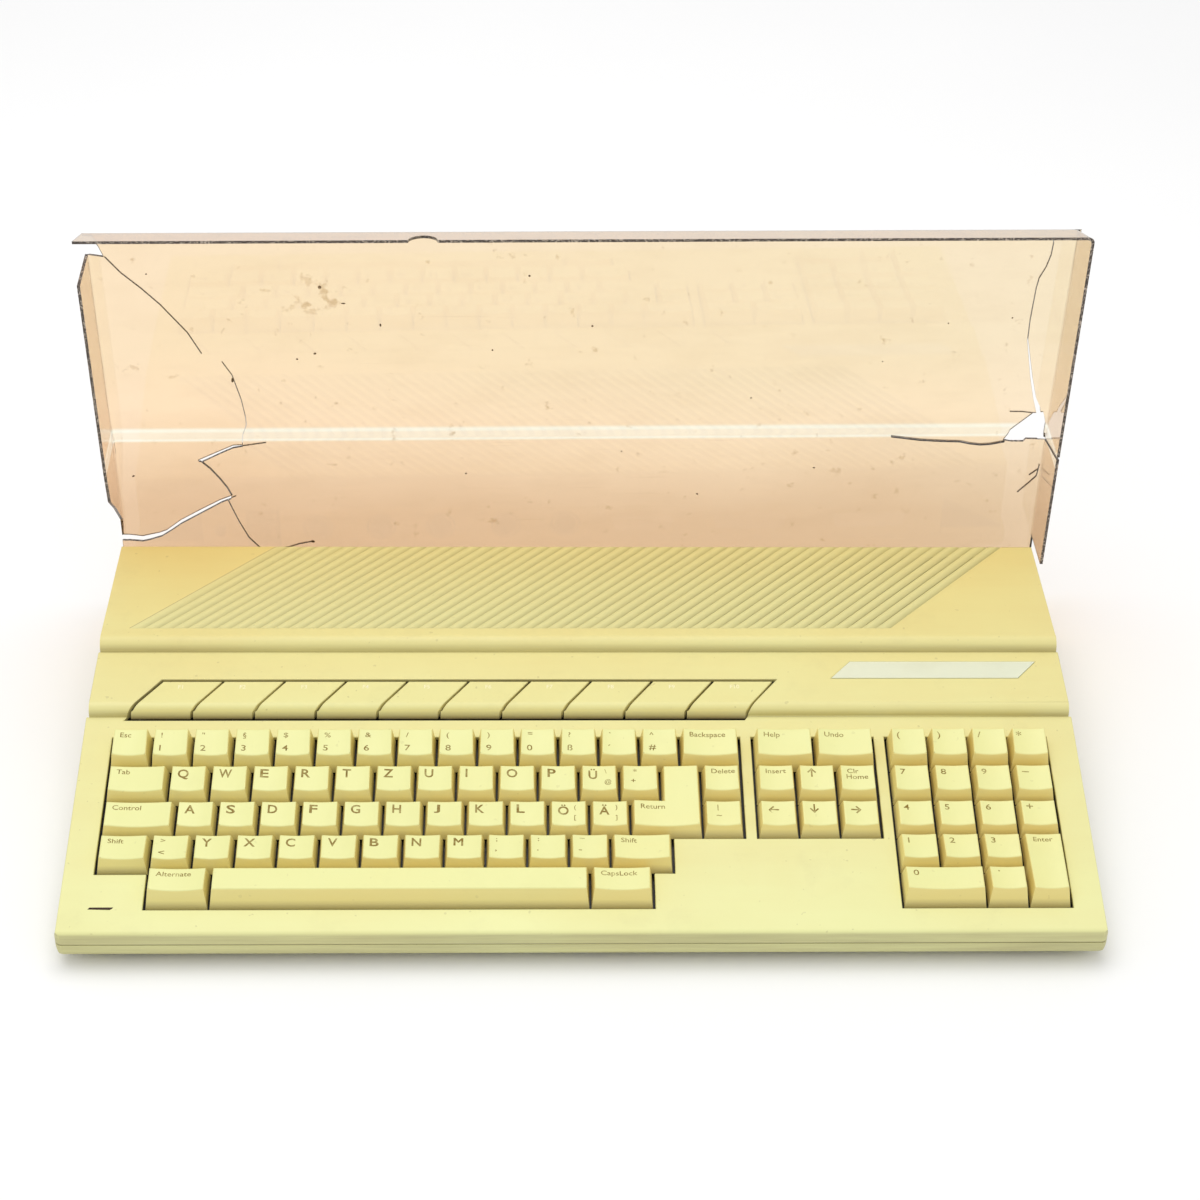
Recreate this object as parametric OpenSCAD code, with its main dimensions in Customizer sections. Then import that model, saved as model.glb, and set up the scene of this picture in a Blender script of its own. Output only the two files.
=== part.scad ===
// Home computer with its keyboard in the case, and its dust cover standing behind it.
// Millimetres. X runs along the keyboard, Y to the back, Z up, with the table at Z = 0.

/* [Case] */
// Width of the case
case_w = 470; // [466:1:476]
// Depth of the case
case_d = 240; // [238:1:244]
// Highest point of the case, above the table
case_h = 62; // [61:0.5:64]
// Height of the front edge of the keyboard deck
front_h = 20; // [20:0.5:21]
// Slope of the keyboard deck in degrees
deck_tilt = 12.6; // [12.2:0.1:13]
// Length of the keyboard deck along its slope
deck_len = 120.5; // [119:0.5:122]
// Depth of the function key panel
panel_d = 37.8; // [36.5:0.1:39]
// Wall of the plastic shells
wall = 2.5; // [2:0.1:3]
// Height of the seam between the two shells
seam_z = 13; // [12:0.5:14]
// Height of the rubber feet
foot_h = 4; // [3.5:0.1:4.5]
// Radius of the rolled front edge of the function key panel
panel_r = 5; // [4.5:0.1:5]
// Radius of the rolled front edge of the rear section
rear_r = 5.6; // [5:0.1:6]

/* [Keyboard] */
// Distance from one key to the next
key_pitch = 19.05; // [19:0.01:19.1]
// Gap that each key keeps to the edge of its cell
key_gap = 0.45; // [0.4:0.05:0.6]
// How far a key goes down
key_travel = 3.5; // [3:0.1:3.8]
// Deck left in front of the space bar
deck_margin = 12.65; // [12:0.05:13]
// Wall of a keycap
cap_wall = 1.3; // [1:0.1:1.5]
// Distance from one function key to the next
fkey_pitch = 29.35; // [29:0.05:29.6]

/* [Vents] */
// Number of louvre ribs across the rear section
rib_count = 53; // [45:1:56]
// Distance from one rib to the next, along the case
rib_pitch = 7.0; // [6.6:0.1:7.1]
// Depth of the groove between two ribs
rib_depth = 2; // [1:0.1:2.2]

/* [Dust cover] */
// Outer width of the cover
cover_w = 480; // [478:1:484]
// Thickness of the clear sheet
cover_t = 1.5; // [1.2:0.1:2]
// Depth of its side walls and front lip
cover_wall = 29.5; // [26:0.5:31]
// Length of its rear panel
cover_rear_len = 104.5; // [103:0.5:108]
// Length of its front panel
cover_front_len = 121.5; // [118:0.5:124]
// How far it stands behind the case
cover_gap = 32.5; // [31:0.5:40]

/* [Hidden] */
in_row = 10;            // function keys
fine = 64;              // facets named for a round cut

// Places that follow from the sizes above, in case coordinates
deck_y = 0.8;
deck_end = [deck_y + deck_len * cos(deck_tilt), front_h + deck_len * sin(deck_tilt)];
panel_top = [deck_end.x + panel_r, deck_end.y + 6.05];
rear_front = [deck_end.x + panel_d, panel_top.y + 3.35];
rear_top = [rear_front.x + rear_r, case_h];
rear_edge = [case_d - 3.4, case_h - 2.1];
panel_slope = atan2(rear_front.y - panel_top.y, rear_front.x - panel_top.x);
rear_slope = atan2(rear_edge.y - rear_top.y, rear_edge.x - rear_top.x);
panel_inset = 1.5;
rear_inset = 2.5;
nose_r = 2.3;                            // rounding of the front edge
flare = 1;                               // the case is this much wider at its seam, each side
seam_gap = 0.5;                          // width and depth of the line between the shells
seam_depth = 0.9;

// The cover stands a little askew, and to the right of the case's middle
cover_shift = 2;
cover_yaw = 0.88;
cover_y = case_d + cover_gap;
cover_lean = 3.6;                        // the front panel leans towards the case
lip_rise = 21.5;
fold = [cover_y, cover_rear_len];
ridge = fold + cover_front_len * [-sin(cover_lean), cos(cover_lean)];
rim = ridge + cover_wall * [-cos(lip_rise), sin(lip_rise)];
overall_d = cover_y + cover_t * cos(cover_yaw) + cover_w / 2 * sin(cover_yaw);
middle_x = cover_shift + (cover_y - cover_t - rim.x) / 2 * sin(cover_yaw);

// Keyboard layout, in key pitches from the left of the main block and in rows from the back
cursor_u = 15.8333;
pad_u = 19.1667;
end_u = pad_u + 4;
key_x0 = -end_u * key_pitch / 2;
cap_skirt = 2;                          // how far a cap hangs into its opening
cap_side = 1.85;                        // inset of the top of a cap
cap_back = 2.6;
row_back_h = [9.5, 6.5, 5.1, 5.5, 7.3];  // height of each row's rear edge above the deck
row_front_h = [8, 6.3, 5.1, 6.5, 8.1];   // height of each row's front edge
row_front_in = [4.1, 4.1, 4.1, 4.1, 5.2];
single_keys = [                          // name, place, row, width, rows deep
    ["escape_key", 0, 1, 1, 1], ["backspace_key", 14, 1, 1.5, 1], ["tab_key", 0, 2, 1.5, 1],
    ["delete_key", 14.5, 2, 1, 1], ["control_key", 0, 3, 1.75, 1],
    ["left_shift_key", 0, 4, 1.25, 1], ["right_shift_key", 12.25, 4, 1.5, 1],
    ["alternate_key", 1.25, 5, 1.5, 1], ["caps_lock_key", 11.75, 5, 1.5, 1],
    ["help_key", cursor_u, 1, 1.5, 1], ["undo_key", cursor_u + 1.5, 1, 1.5, 1],
    ["insert_key", cursor_u, 2, 1, 1], ["up_key", cursor_u + 1, 2, 1, 1],
    ["home_key", cursor_u + 2, 2, 1, 1], ["left_key", cursor_u, 3, 1, 1],
    ["down_key", cursor_u + 1, 3, 1, 1], ["right_key", cursor_u + 2, 3, 1, 1],
    ["numpad_zero_key", pad_u, 5, 2, 1], ["numpad_enter_key", pad_u + 3, 5, 1, 2]];
function run(first, row, count) = [for (i = [0 : count - 1]) [first + i, row]];
key_rows = [                             // name, cells of single width
    ["number_keys", run(1, 1, 13)], ["upper_letter_keys", run(1.5, 2, 12)],
    ["home_letter_keys", concat(run(1.75, 3, 11), [[14.5, 3]])],
    ["lower_letter_keys", run(1.25, 4, 11)], ["numpad_sign_keys", run(pad_u, 1, 4)],
    ["numpad_digit_keys", concat(run(pad_u, 2, 4), run(pad_u, 3, 4), run(pad_u, 4, 3),
        [[pad_u + 2, 5]])]];
space_bar_cell = [2.75, 5, 9];
return_cell = [12.75, 3, 1.75];

// Plungers under the caps: all of them, as [x, distance up the deck]
function cell_x(u) = key_x0 + u * key_pitch;
function cell_s(row) = deck_margin + (5 - row) * key_pitch;
function middle(u, row, w = 1, deep = 1) =
    [cell_x(u + w / 2), cell_s(row) + deep * key_pitch / 2];
space_bar_posts = [for (u = [-3.4, 0, 3.4])
    middle(space_bar_cell[0] + space_bar_cell[2] / 2 + u - 0.5, 5)];
fkey_slant = 0.732;                      // sideways run of a function key per mm up the deck
fkey_x0 = -216.2;
fkey_s0 = 118.7;
fkey_s1 = 141;
fkey_post_s = 10.3;                      // where their plungers stand, up from the front
fkey_post_top = 3.6;
function fkey_post(i) = [fkey_x0 + (i + 0.5) * fkey_pitch + fkey_slant * fkey_post_s,
    fkey_s0 + fkey_post_s];
posts = concat(
    [for (k = single_keys) middle(k[1], k[2], k[3], k[4])],
    [for (r = key_rows, c = r[1]) middle(c[0], c[1])],
    space_bar_posts, [middle(return_cell[0] + 0.75, 3)],
    [for (i = [0 : in_row - 1]) fkey_post(i)]);
post_r = 3;
post_end = -8.8;                         // lower end of a plunger, above the deck
guide_bore_r = 3.3;

// Layers of the keyboard under the deck, as heights above it
frame_top = -6.2;
frame_under = -7.6;
guide_end = -10.5;
dome_top = -10.7;
sheet_top = -12;
board_top = post_end - key_travel - 0.3;
board_under = -13.8;
plate_under = -14.6;
keyboard_w = 444;
keyboard_s0 = 8.5;
keyboard_s1 = 141.5;

// Rear sockets, as [x] or [x, width], and their height
port_z = 26;
din_x = [-5, -37, -72, -104, -138];
din_r = 8;
wide_x = [[160, 39], [95, 39], [37, 33]];
port_panel_x = 200;
port_panel_top = 38;
rocker_x = -167;
rocker_w = 13;
rocker_h = 19;
rocker_lean = 8;
reset_x = -190;
reset_r = 3;
board_z = 12.4;
board_t = 1.6;
stick_y = [168, 200];                    // joystick sockets in the right wall
stick_z = 26;
slot_y = [136, 222];                     // cartridge slot in the left wall
slot_z = [19, 33];
screw_places = [for (x = [-228, 228], y = [11, 112, 227]) [x, y]];
foot_places = concat([for (x = [-205, 205], y = [16, 222]) [x, y]], [[0, 16], [0, 222]]);
boss_r = 3.6;
shank_r = 1.5;

beige = [0.93, 0.88, 0.6];
key_beige = [0.95, 0.93, 0.68];
steel = [0.74, 0.75, 0.76];
black = [0.1, 0.1, 0.11];
smoke = [0.8, 0.6, 0.45, 0.45];

// ---- Frames of reference ----

// The case stands with its front edge at Y = 0; the whole set is centred on the origin
module in_case() translate([-middle_x, -overall_d / 2, 0]) children();

// X along the deck, Y up its slope from the front edge, Z square to it
module on_deck() in_case() translate([0, deck_y, front_h]) rotate([deck_tilt, 0, 0]) children();

// Sweeps a side view, drawn as [depth, height], along the width
module along_x(length) rotate([90, 0, 90]) translate([0, 0, -length / 2])
    linear_extrude(length) children();

// A sheet drawn in plan, between two heights
module layer(low, high) translate([0, 0, low]) linear_extrude(high - low) children();

// ---- Outlines ----

function arc(c, r, from, to, steps = 8) =
    [for (i = [0 : steps]) let (a = from + (to - from) * i / steps) c + r * [cos(a), sin(a)]];

function upper_outline(low) = concat(
    [[0, low]],
    arc([nose_r, front_h - nose_r + 0.3], nose_r, 180, 90 + deck_tilt, 5),
    [deck_end],
    arc([panel_top.x, panel_top.y - panel_r], panel_r, 180, 90 + panel_slope),
    [rear_front],
    arc([rear_top.x, rear_top.y - rear_r], rear_r, 180, 90 + rear_slope),
    arc([rear_edge.x, rear_edge.y - 3], 3, 90 + rear_slope, 8, 5),
    [[case_d, seam_z], [case_d, low]]);

lower_r = 6;

module lower_outline() intersection() {
    hull() for (y = [lower_r, case_d - lower_r], z = [foot_h + lower_r, seam_z + lower_r])
        translate([y, z]) circle(r = lower_r, $fn = 40);
    square([case_d, seam_z]);
}

module case_plan(half_w) hull() {
    for (x = [-1, 1]) translate([x * (half_w - 3.5), 3.5]) circle(r = 3.5, $fn = 32);
    translate([-half_w, 10]) square([2 * half_w, case_d - 10]);
}

// The side walls of the upper shell flare out below rim_z, down to the seam
rim_z = 19.8;
upper_side = [for (p = [[0, -5], [0, seam_z], [0.1, 15.5], [0.4, 18], [flare, rim_z], [flare, 80]])
    [case_w / 2 + flare - p.x, p.y]];

module upper_front_view() polygon(concat(upper_side,
    [for (i = [len(upper_side) - 1 : -1 : 0]) [-upper_side[i].x, upper_side[i].y]]));

// What is taken off above the rim: each step is a little narrower than the one before it
module side_steps(inset) {
    outside = case_w / 2 + 10;
    panel = case_w / 2 - panel_inset - inset;
    rear = case_w / 2 - rear_inset - inset;
    for (side = [-1, 1]) layer(rim_z - inset, 90) scale([side, 1]) polygon([
        [outside, deck_end.x - inset], [panel, deck_end.x - inset],
        [panel, rear_front.x - inset], [rear, rear_front.x - inset],
        [rear, case_d + 10], [outside, case_d + 10]]);
}

// Openings for the three blocks of keys, drawn on the deck
module cells(u0, u1, row0, row1, edge) translate([cell_x(u0) - edge, cell_s(row1) - edge])
    square([(u1 - u0) * key_pitch + 2 * edge, (row1 - row0 + 1) * key_pitch + 2 * edge]);

module key_openings(edge = 0.7) {
    cells(0, 15.5, 1, 3, edge);
    cells(0, 13.75, 4, 4, edge);
    cells(1.25, 13.25, 5, 5, edge);
    cells(cursor_u, cursor_u + 3, 1, 3, edge);
    cells(pad_u, end_u, 1, 5, edge);
}

// A slanted plan drawn from a front line, as the function keys and vents are
module slanted(x0, x1, s0, s1, slant) polygon([[x0, s0], [x1, s0],
    [x1 + slant * (s1 - s0), s1], [x0 + slant * (s1 - s0), s1]]);

// ---- Vents ----

// Drawn on the top of the rear section, from the front left corner of the vent field. Ribs run
// along Y here and lie at vent_angle to the case.
vent_slant = 0.925;
vent_angle = atan(vent_slant);
vent_corner = [-219, 167.6];
vent_len = 75;
rib_step = rib_pitch * cos(vent_angle);
rib_run = rib_count * rib_pitch + vent_len;
rib_crest = 1;
vent_slot = 1;
vent_bed = 2;

module on_vents() in_case() translate([vent_corner.x, rear_top.x, rear_top.y])
    rotate([rear_slope, 0, 0]) translate([0, vent_corner.y - rear_top.x, 0]) children();

module vent_field(low, high, rear = vent_len) layer(low, high)
    slanted(0, rib_count * rib_pitch, 0, rear, vent_slant);

// Each rib has a narrow crest and curves down to the foot of the next one
rib_curve = [for (f = [0 : 0.2 : 1]) [rib_crest + f * (rib_step - rib_crest),
    -rib_depth * pow(f, 1.6)]];

module vent_grooves() intersection() {
    rotate([0, 0, -vent_angle]) rotate([90, 0, 0]) translate([0, 0, -rib_run])
        linear_extrude(rib_run + vent_len) for (i = [0 : rib_count - 1])
        translate([i * rib_step, 0])
            polygon(concat(rib_curve, [[rib_step, 4], [rib_crest, 4]]));
    vent_field(-rib_depth - 1, 5);
}

// The air slots lie hidden at the foot of each rib
module vent_slots() intersection() {
    rotate([0, 0, -vent_angle]) layer(-wall - vent_bed - 1, 1)
        for (i = [1 : rib_count]) translate([i * rib_step - vent_slot, -vent_len])
            square([vent_slot, rib_run + vent_len]);
    translate([0, 4, 0]) vent_field(-wall - vent_bed - 1, 1, vent_len - 16);
}

// ---- Function keys ----

fkey_side = 0.54;                        // gaps that a function key keeps to its opening
fkey_end = 0.8;                          // the opening is this much longer at either end
fkey_front = 2.3;
fkey_rear = 1.2;
fkey_low = 0.25;                         // the caps lie this far under the panel
fkey_skirt = 0.5;                        // and end this far above the deck

// Plan of one or more function keys on the deck frame, inset at the sides, front and rear
module fkey_plan(first, count, side, front, rear) {
    x0 = fkey_x0 + first * fkey_pitch + side + fkey_slant * front;
    slanted(x0, x0 + count * fkey_pitch - 2 * side, fkey_s0 + front, fkey_s1 - rear, fkey_slant);
}

module function_key(i) color(beige) {
    difference() {
        intersection() {
            on_deck() layer(fkey_skirt, 20) fkey_plan(i, 1, fkey_side, fkey_front, fkey_rear);
            in_case() along_x(case_w) offset(delta = -fkey_low) polygon(upper_outline(seam_z));
        }
        intersection() {
            on_deck() layer(fkey_skirt - 1, 20) fkey_plan(i, 1, fkey_side + 1.2 * cap_wall,
                fkey_front + cap_wall, fkey_rear + cap_wall);
            in_case() along_x(case_w) offset(delta = -fkey_low - cap_wall)
                polygon(upper_outline(seam_z));
        }
    }
    on_deck() plunger(fkey_post(i), fkey_post_top);
}

// ---- Keys ----

// One tapered cap on its cell: a side view and a front view, crossed
module cap_body(u, row, w, deep, back_h, peak, inset = 0) {
    d = deep * key_pitch;
    low = -cap_skirt - inset;
    down = inset * 1.2;
    front = row_front_in[row - 1];
    translate([cell_x(u), cell_s(row), 0]) intersection() {
        rotate([90, 0, 90]) linear_extrude(w * key_pitch) polygon([
            [key_gap + inset, low], [d - key_gap - inset, low],
            [d - cap_back - inset, back_h - down],
            [front + inset, row_front_h[row - 1] - down]]);
        translate([0, d, 0]) rotate([90, 0, 0]) linear_extrude(d) polygon([
            [key_gap + inset, low], [w * key_pitch - key_gap - inset, low],
            [w * key_pitch - cap_side - inset, peak], [cap_side + inset, peak]]);
    }
}

// The shallow trough along the top of a cap
module cap_dish(u, row, w, deep, back_h) {
    chord = w * key_pitch - 2 * cap_side;
    sag = w > 1.3 ? 1 : 0.8;
    r = chord * chord / (8 * sag) + sag / 2;
    front = row_front_in[row - 1];
    front_top = row_front_h[row - 1];
    lean = atan2(back_h - front_top, deep * key_pitch - cap_back - front);
    translate([cell_x(u + w / 2), cell_s(row) + front, front_top]) rotate([lean, 0, 0])
        translate([0, -15, r - sag]) rotate([-90, 0, 0])
        cylinder(r = r, h = deep * key_pitch + 30, $fn = 4 * fine);
}

module plunger(place, top) translate([place.x, place.y, post_end])
    cylinder(r = post_r, h = top - post_end, $fn = fine);

module keycap(u, row, w = 1, deep = 1) {
    back_h = row_back_h[row - deep];
    front_h_here = row_front_h[row - 1];
    peak = max(back_h, front_h_here);
    difference() {
        cap_body(u, row, w, deep, back_h, peak);
        cap_body(u, row, w, deep, back_h, peak, cap_wall);
        cap_dish(u, row, w, deep, back_h);
    }
    plunger(middle(u, row, w, deep), (back_h + front_h_here) / 2 - 1.25);
}

module single_key(k) color(key_beige) on_deck() keycap(k[1], k[2], k[3], k[4]);

module key_row(r) color(key_beige) on_deck() for (c = r[1]) keycap(c[0], c[1]);

// Nine cells wide, with a plain top and a plunger near each end
module space_bar() color(key_beige) on_deck() {
    row = space_bar_cell[1];
    back_h = row_back_h[row - 1];
    top = max(back_h, row_front_h[row - 1]);
    difference() {
        cap_body(space_bar_cell[0], row, space_bar_cell[2], 1, back_h, top);
        cap_body(space_bar_cell[0], row, space_bar_cell[2], 1, back_h, top, cap_wall);
    }
    for (p = space_bar_posts) plunger(p, back_h - 0.8);
}

// Bent key: the notch leaves it one cell wide in its rear row
module return_notch(inset = 0) {
    back = row_back_h[1];
    low = -cap_skirt - 5;
    at = key_pitch - key_gap - inset;
    side = key_gap + inset;
    translate([cell_x(return_cell[0]), cell_s(return_cell[1]), 0]) intersection() {
        rotate([90, 0, 90]) linear_extrude(key_pitch) polygon([[at, -cap_skirt], [at, low],
            [3 * key_pitch, low], [3 * key_pitch, back + 3], [at + key_gap - cap_back, back + 3],
            [at + key_gap - cap_back, back]]);
        translate([0, 3 * key_pitch, 0]) rotate([90, 0, 0]) linear_extrude(3 * key_pitch)
            translate([(return_cell[2] - 1) * key_pitch, 0]) polygon([[side, -cap_skirt],
            [side, low], [-key_pitch, low], [-key_pitch, back + 3],
            [side + cap_side - key_gap, back + 3], [side + cap_side - key_gap, back]]);
    }
}

module return_body(inset = 0) difference() {
    cap_body(return_cell[0], return_cell[1], return_cell[2], 2, row_back_h[1], row_back_h[1],
        inset);
    return_notch(inset);
}

module return_key() color(key_beige) on_deck() {
    difference() {
        return_body();
        return_body(cap_wall);
        cap_dish(return_cell[0], return_cell[1], return_cell[2], 2, row_back_h[1]);
    }
    plunger(middle(return_cell[0] + 0.75, 3), row_front_h[2] - 1);
}

// ---- Keyboard under the caps ----

module keyboard_plan() translate([-keyboard_w / 2, keyboard_s0])
    square([keyboard_w, keyboard_s1 - keyboard_s0]);

// Moulded plate with a guide tube for every plunger
module keyboard_frame() color(black) on_deck() {
    layer(frame_under, frame_top) difference() {
        keyboard_plan();
        for (p = posts) translate(p) circle(r = guide_bore_r, $fn = fine);
    }
    layer(guide_end, frame_under) difference() {
        union() {
            for (p = posts) translate(p) circle(r = guide_bore_r + 1.5, $fn = fine);
            for (s = [keyboard_s0, keyboard_s1 - 2]) translate([-keyboard_w / 2, s])
                square([keyboard_w, 2]);
            for (x = [-1, 1]) translate([x * (keyboard_w / 2 - 1) - 1, keyboard_s0])
                square([2, keyboard_s1 - keyboard_s0]);
        }
        for (p = posts) translate(p) circle(r = guide_bore_r, $fn = fine);
    }
}

// Rubber sheet with a collar at every key
module rubber_domes() color([0.55, 0.56, 0.58]) on_deck() {
    layer(sheet_top, dome_top) difference() {
        for (p = posts) translate(p) circle(r = guide_bore_r + 1.7, $fn = fine);
        for (p = posts) translate(p) circle(r = guide_bore_r + 0.5, $fn = fine);
    }
    layer(board_top, sheet_top) difference() {
        keyboard_plan();
        for (p = posts) translate(p) circle(r = guide_bore_r + 0.5, $fn = fine);
    }
}

module keyboard_board() color([0.2, 0.45, 0.25]) on_deck() layer(board_under, board_top)
    keyboard_plan();

module keyboard_backplate() color(steel) on_deck() layer(plate_under, board_under)
    keyboard_plan();

function under_deck(s, h) = [deck_y + s * cos(deck_tilt) - h * sin(deck_tilt),
    front_h + s * sin(deck_tilt) + h * cos(deck_tilt)];

module keyboard_cable() color([0.8, 0.8, 0.78]) in_case() translate([-50, 0, 0]) along_x(28)
    polygon([under_deck(keyboard_s1 + 0.02, board_top - 0.1), [147, 36.8],
        [147.5, board_z + board_t], [146.5, board_z + board_t], [146, 35.9],
        under_deck(keyboard_s1 + 0.02, board_under + 0.1)]);

// ---- Case ----

module upper_block(inset) intersection() {
    along_x(case_w + 10) offset(delta = -inset)
        polygon(upper_outline(inset > 0 ? seam_z - 10 : seam_z));
    layer(0, 80) offset(delta = -inset) case_plan(case_w / 2 + flare);
    rotate([90, 0, 0]) translate([0, 0, -case_d]) linear_extrude(case_d)
        offset(delta = -inset) upper_front_view();
}

module upper_shell(inset) difference() {
    upper_block(inset);
    side_steps(inset);
}

module screw_bosses() for (p = screw_places) translate([p.x, p.y, seam_z - 4])
    cylinder(r = boss_r, h = case_h, $fn = fine);

module lamp_plan(inset = 0) slanted(-222 + inset, -211.3 - inset, 12.2 + inset, 13.3 - inset,
    0.75);

module on_panel() in_case() translate([0, panel_top.x, panel_top.y])
    rotate([panel_slope, 0, 0]) children();

module badge_plan() slanted(120.8, 211.4, 16.3, 27.7, 0.87);

badge_t = 0.5;
window_gap = 0.3;

module top_case() color(beige) difference() {
    union() {
        in_case() difference() {
            upper_shell(0);
            upper_shell(wall);
        }
        in_case() intersection() {
            upper_shell(0.05);
            screw_bosses();
        }
        intersection() {
            in_case() upper_shell(0.05);
            on_vents() translate([-2, -2, 0]) vent_field(-wall - vent_bed, -wall / 2);
        }
    }
    on_deck() layer(-10, 5) key_openings();
    on_deck() layer(-8, 20) fkey_plan(0, in_row, -fkey_end, 0, 0);
    on_deck() layer(-10, 5) lamp_plan();
    on_panel() layer(-badge_t, 3) badge_plan();
    on_vents() vent_grooves();
    on_vents() vent_slots();
    in_case() {
        for (p = screw_places) translate([p.x, p.y, 0])
            cylinder(r = shank_r + 0.1, h = front_h - 1, $fn = fine);
        translate([-port_panel_x - window_gap, case_d - 10, 0])
            cube([2 * (port_panel_x + window_gap), 20, port_panel_top + window_gap]);
        translate([-case_w / 2 - 5, slot_y[0], slot_z[0]])
            cube([15, slot_y[1] - slot_y[0], slot_z[1] - slot_z[0]]);
        for (y = stick_y) translate([case_w / 2 - 10, y, stick_z]) rotate([90, 0, 90])
            linear_extrude(20) d_outline(17.4, 8.8);
    }
}

module lower_solid(inset) intersection() {
    along_x(case_w + 10) offset(delta = -inset) union() {
        lower_outline();
        if (inset > 0) translate([0, foot_h + lower_r]) square([case_d, 20]);
    }
    translate([0, case_d, 0]) rotate([90, 0, 0]) linear_extrude(case_d)
        offset(delta = -inset) hull() for (x = [-1, 1], z = [seam_z, seam_z + 20])
            translate([x * (case_w / 2 + flare - seam_z + foot_h), z])
                circle(r = seam_z - foot_h, $fn = 48);
    layer(0, 30) offset(delta = -inset) case_plan(case_w / 2 + flare);
}

// The line between the two shells
module seam_groove() layer(seam_z - seam_gap, seam_z + 1) difference() {
    translate([-case_w, -10]) square([2 * case_w, case_d + 20]);
    offset(delta = -seam_depth) case_plan(case_w / 2 + flare);
}

// A plug socket's outline, wide side up, with cut corners
module d_outline(w, h) {
    top = [[-1.5, 0], [-0.45, -0.45], [0, -1.5]];
    foot = [[-1.3, 1.5], [-1.8, 0.45], [-2.9, 0]];
    right = concat([for (c = top) [w / 2, h / 2] + c], [for (c = foot) [w / 2, -h / 2] + c]);
    polygon(concat(right, [for (i = [len(right) - 1 : -1 : 0]) [-right[i].x, right[i].y]]));
}

// Drawn as seen from the front: width and height, swept through the rear wall
module through_rear(y0, y1) in_case() translate([0, y1, 0]) rotate([90, 0, 0])
    linear_extrude(y1 - y0) children();

module rear_cuts() {
    for (x = din_x) translate([x, port_z]) circle(r = din_r + 0.2, $fn = fine);
    for (p = wide_x) translate([p[0], port_z]) d_outline(p[1] + 0.4, 8.8);
    translate([rocker_x - rocker_w / 2 - 1.3, port_z - rocker_h / 2 - 1.3])
        square([rocker_w + 2.6, rocker_h + 2.6]);
    translate([reset_x, port_z]) circle(r = reset_r + 0.3, $fn = fine);
}

module floor_slots() for (i = [0 : 17], s = [-1, 1]) translate([s * (60 + i * 7) - 1.25, 150])
    square([2.5, 45]);

standoffs = [for (x = [-190, -60, 60, 190], y = [128, 214]) [x, y]];
rests = [for (x = [-195, 195], y = [34, 104]) [x, y]];

module bottom_case() color(beige) {
    in_case() difference() {
        union() {
            difference() {
                lower_solid(0);
                lower_solid(wall);
            }
            translate([-port_panel_x, case_d - wall, foot_h + 6])
                cube([2 * port_panel_x, wall, port_panel_top - foot_h - 6]);
            for (p = standoffs) translate([p.x, p.y, foot_h + 1])
                cylinder(r = 3, h = board_z - foot_h - 1, $fn = fine);
            for (p = rests) translate([p.x, p.y, foot_h + 1]) cylinder(r = 4, $fn = fine,
                h = front_h + (p.y - 5) * tan(deck_tilt) + plate_under / cos(deck_tilt) - foot_h
                    - 1.4);
            for (p = screw_places) translate([p.x, p.y, foot_h + 1])
                cylinder(r = boss_r, h = seam_z - foot_h - 5.3, $fn = fine);
        }
        for (p = screw_places) translate([p.x, p.y, 0]) {
            cylinder(r = shank_r + 0.3, h = seam_z, $fn = fine);
            cylinder(r = 3.2, h = foot_h + 2.2, $fn = fine);
        }
        for (p = foot_places) translate([p.x, p.y, 0])
            cylinder(r = 8.1, h = foot_h + 0.6, $fn = fine);
        layer(0, foot_h + wall + 1) floor_slots();
        rear_ports_cut();
        seam_groove();
    }
}

module rear_ports_cut() translate([0, case_d + 5, 0]) rotate([90, 0, 0]) linear_extrude(15)
    rear_cuts();

module rubber_feet() color([0.25, 0.24, 0.23]) in_case() for (p = foot_places)
    translate([p.x, p.y, 0]) cylinder(r = 8, h = foot_h + 0.6, $fn = fine);

module case_screws() color(steel) in_case() for (p = screw_places)
    translate([p.x, p.y, foot_h + 0.3]) {
        cylinder(r = 3, h = 1.9, $fn = fine);
        cylinder(r = shank_r, h = front_h - foot_h - 2.3, $fn = fine);
    }

module badge_plate() color([0.8, 0.8, 0.78]) on_panel() layer(-badge_t, 0.1) offset(delta = -0.1)
    badge_plan();

module power_lamp() color([0.3, 0.12, 0.08]) on_deck() layer(-wall, 0) lamp_plan(0.05);

// ---- Electronics ----

board_y = [120, 234];

module main_board() color([0.16, 0.4, 0.22]) in_case() layer(board_z, board_z + board_t)
    translate([-224, board_y[0]]) square([448, board_y[1] - board_y[0]]);

// Long packages in two rows, and two short rows beside them
module board_chips() color(black) in_case() translate([0, 0, board_z + board_t]) {
    for (x = [-150, -50, 50]) translate([x, 168, 0]) cube([80, 18, 4]);
    for (i = [0 : 7]) translate([-190 + i * 24, 196, 0]) cube([19, 7, 3.5]);
    for (i = [0 : 5]) translate([20 + i * 30, 196, 0]) cube([19, 7, 3.5]);
}

shield_x = 206;
shield_y = [151, 221];
shield_top = 46;

// Folded sheet cover over the board, with rows of air holes
module shield_cover() color(steel) in_case() difference() {
    translate([-shield_x, shield_y[0], board_z + board_t])
        cube([2 * shield_x, shield_y[1] - shield_y[0], shield_top - board_z - board_t]);
    translate([1 - shield_x, shield_y[0] + 1, 0])
        cube([2 * shield_x - 2, shield_y[1] - shield_y[0] - 2, shield_top - 1]);
    layer(shield_top - 5, shield_top + 1) for (i = [0 : 19], j = [0 : 3])
        translate([-190 + i * 20, 163 + j * 15]) circle(r = 2.2, $fn = 24);
}

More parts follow.
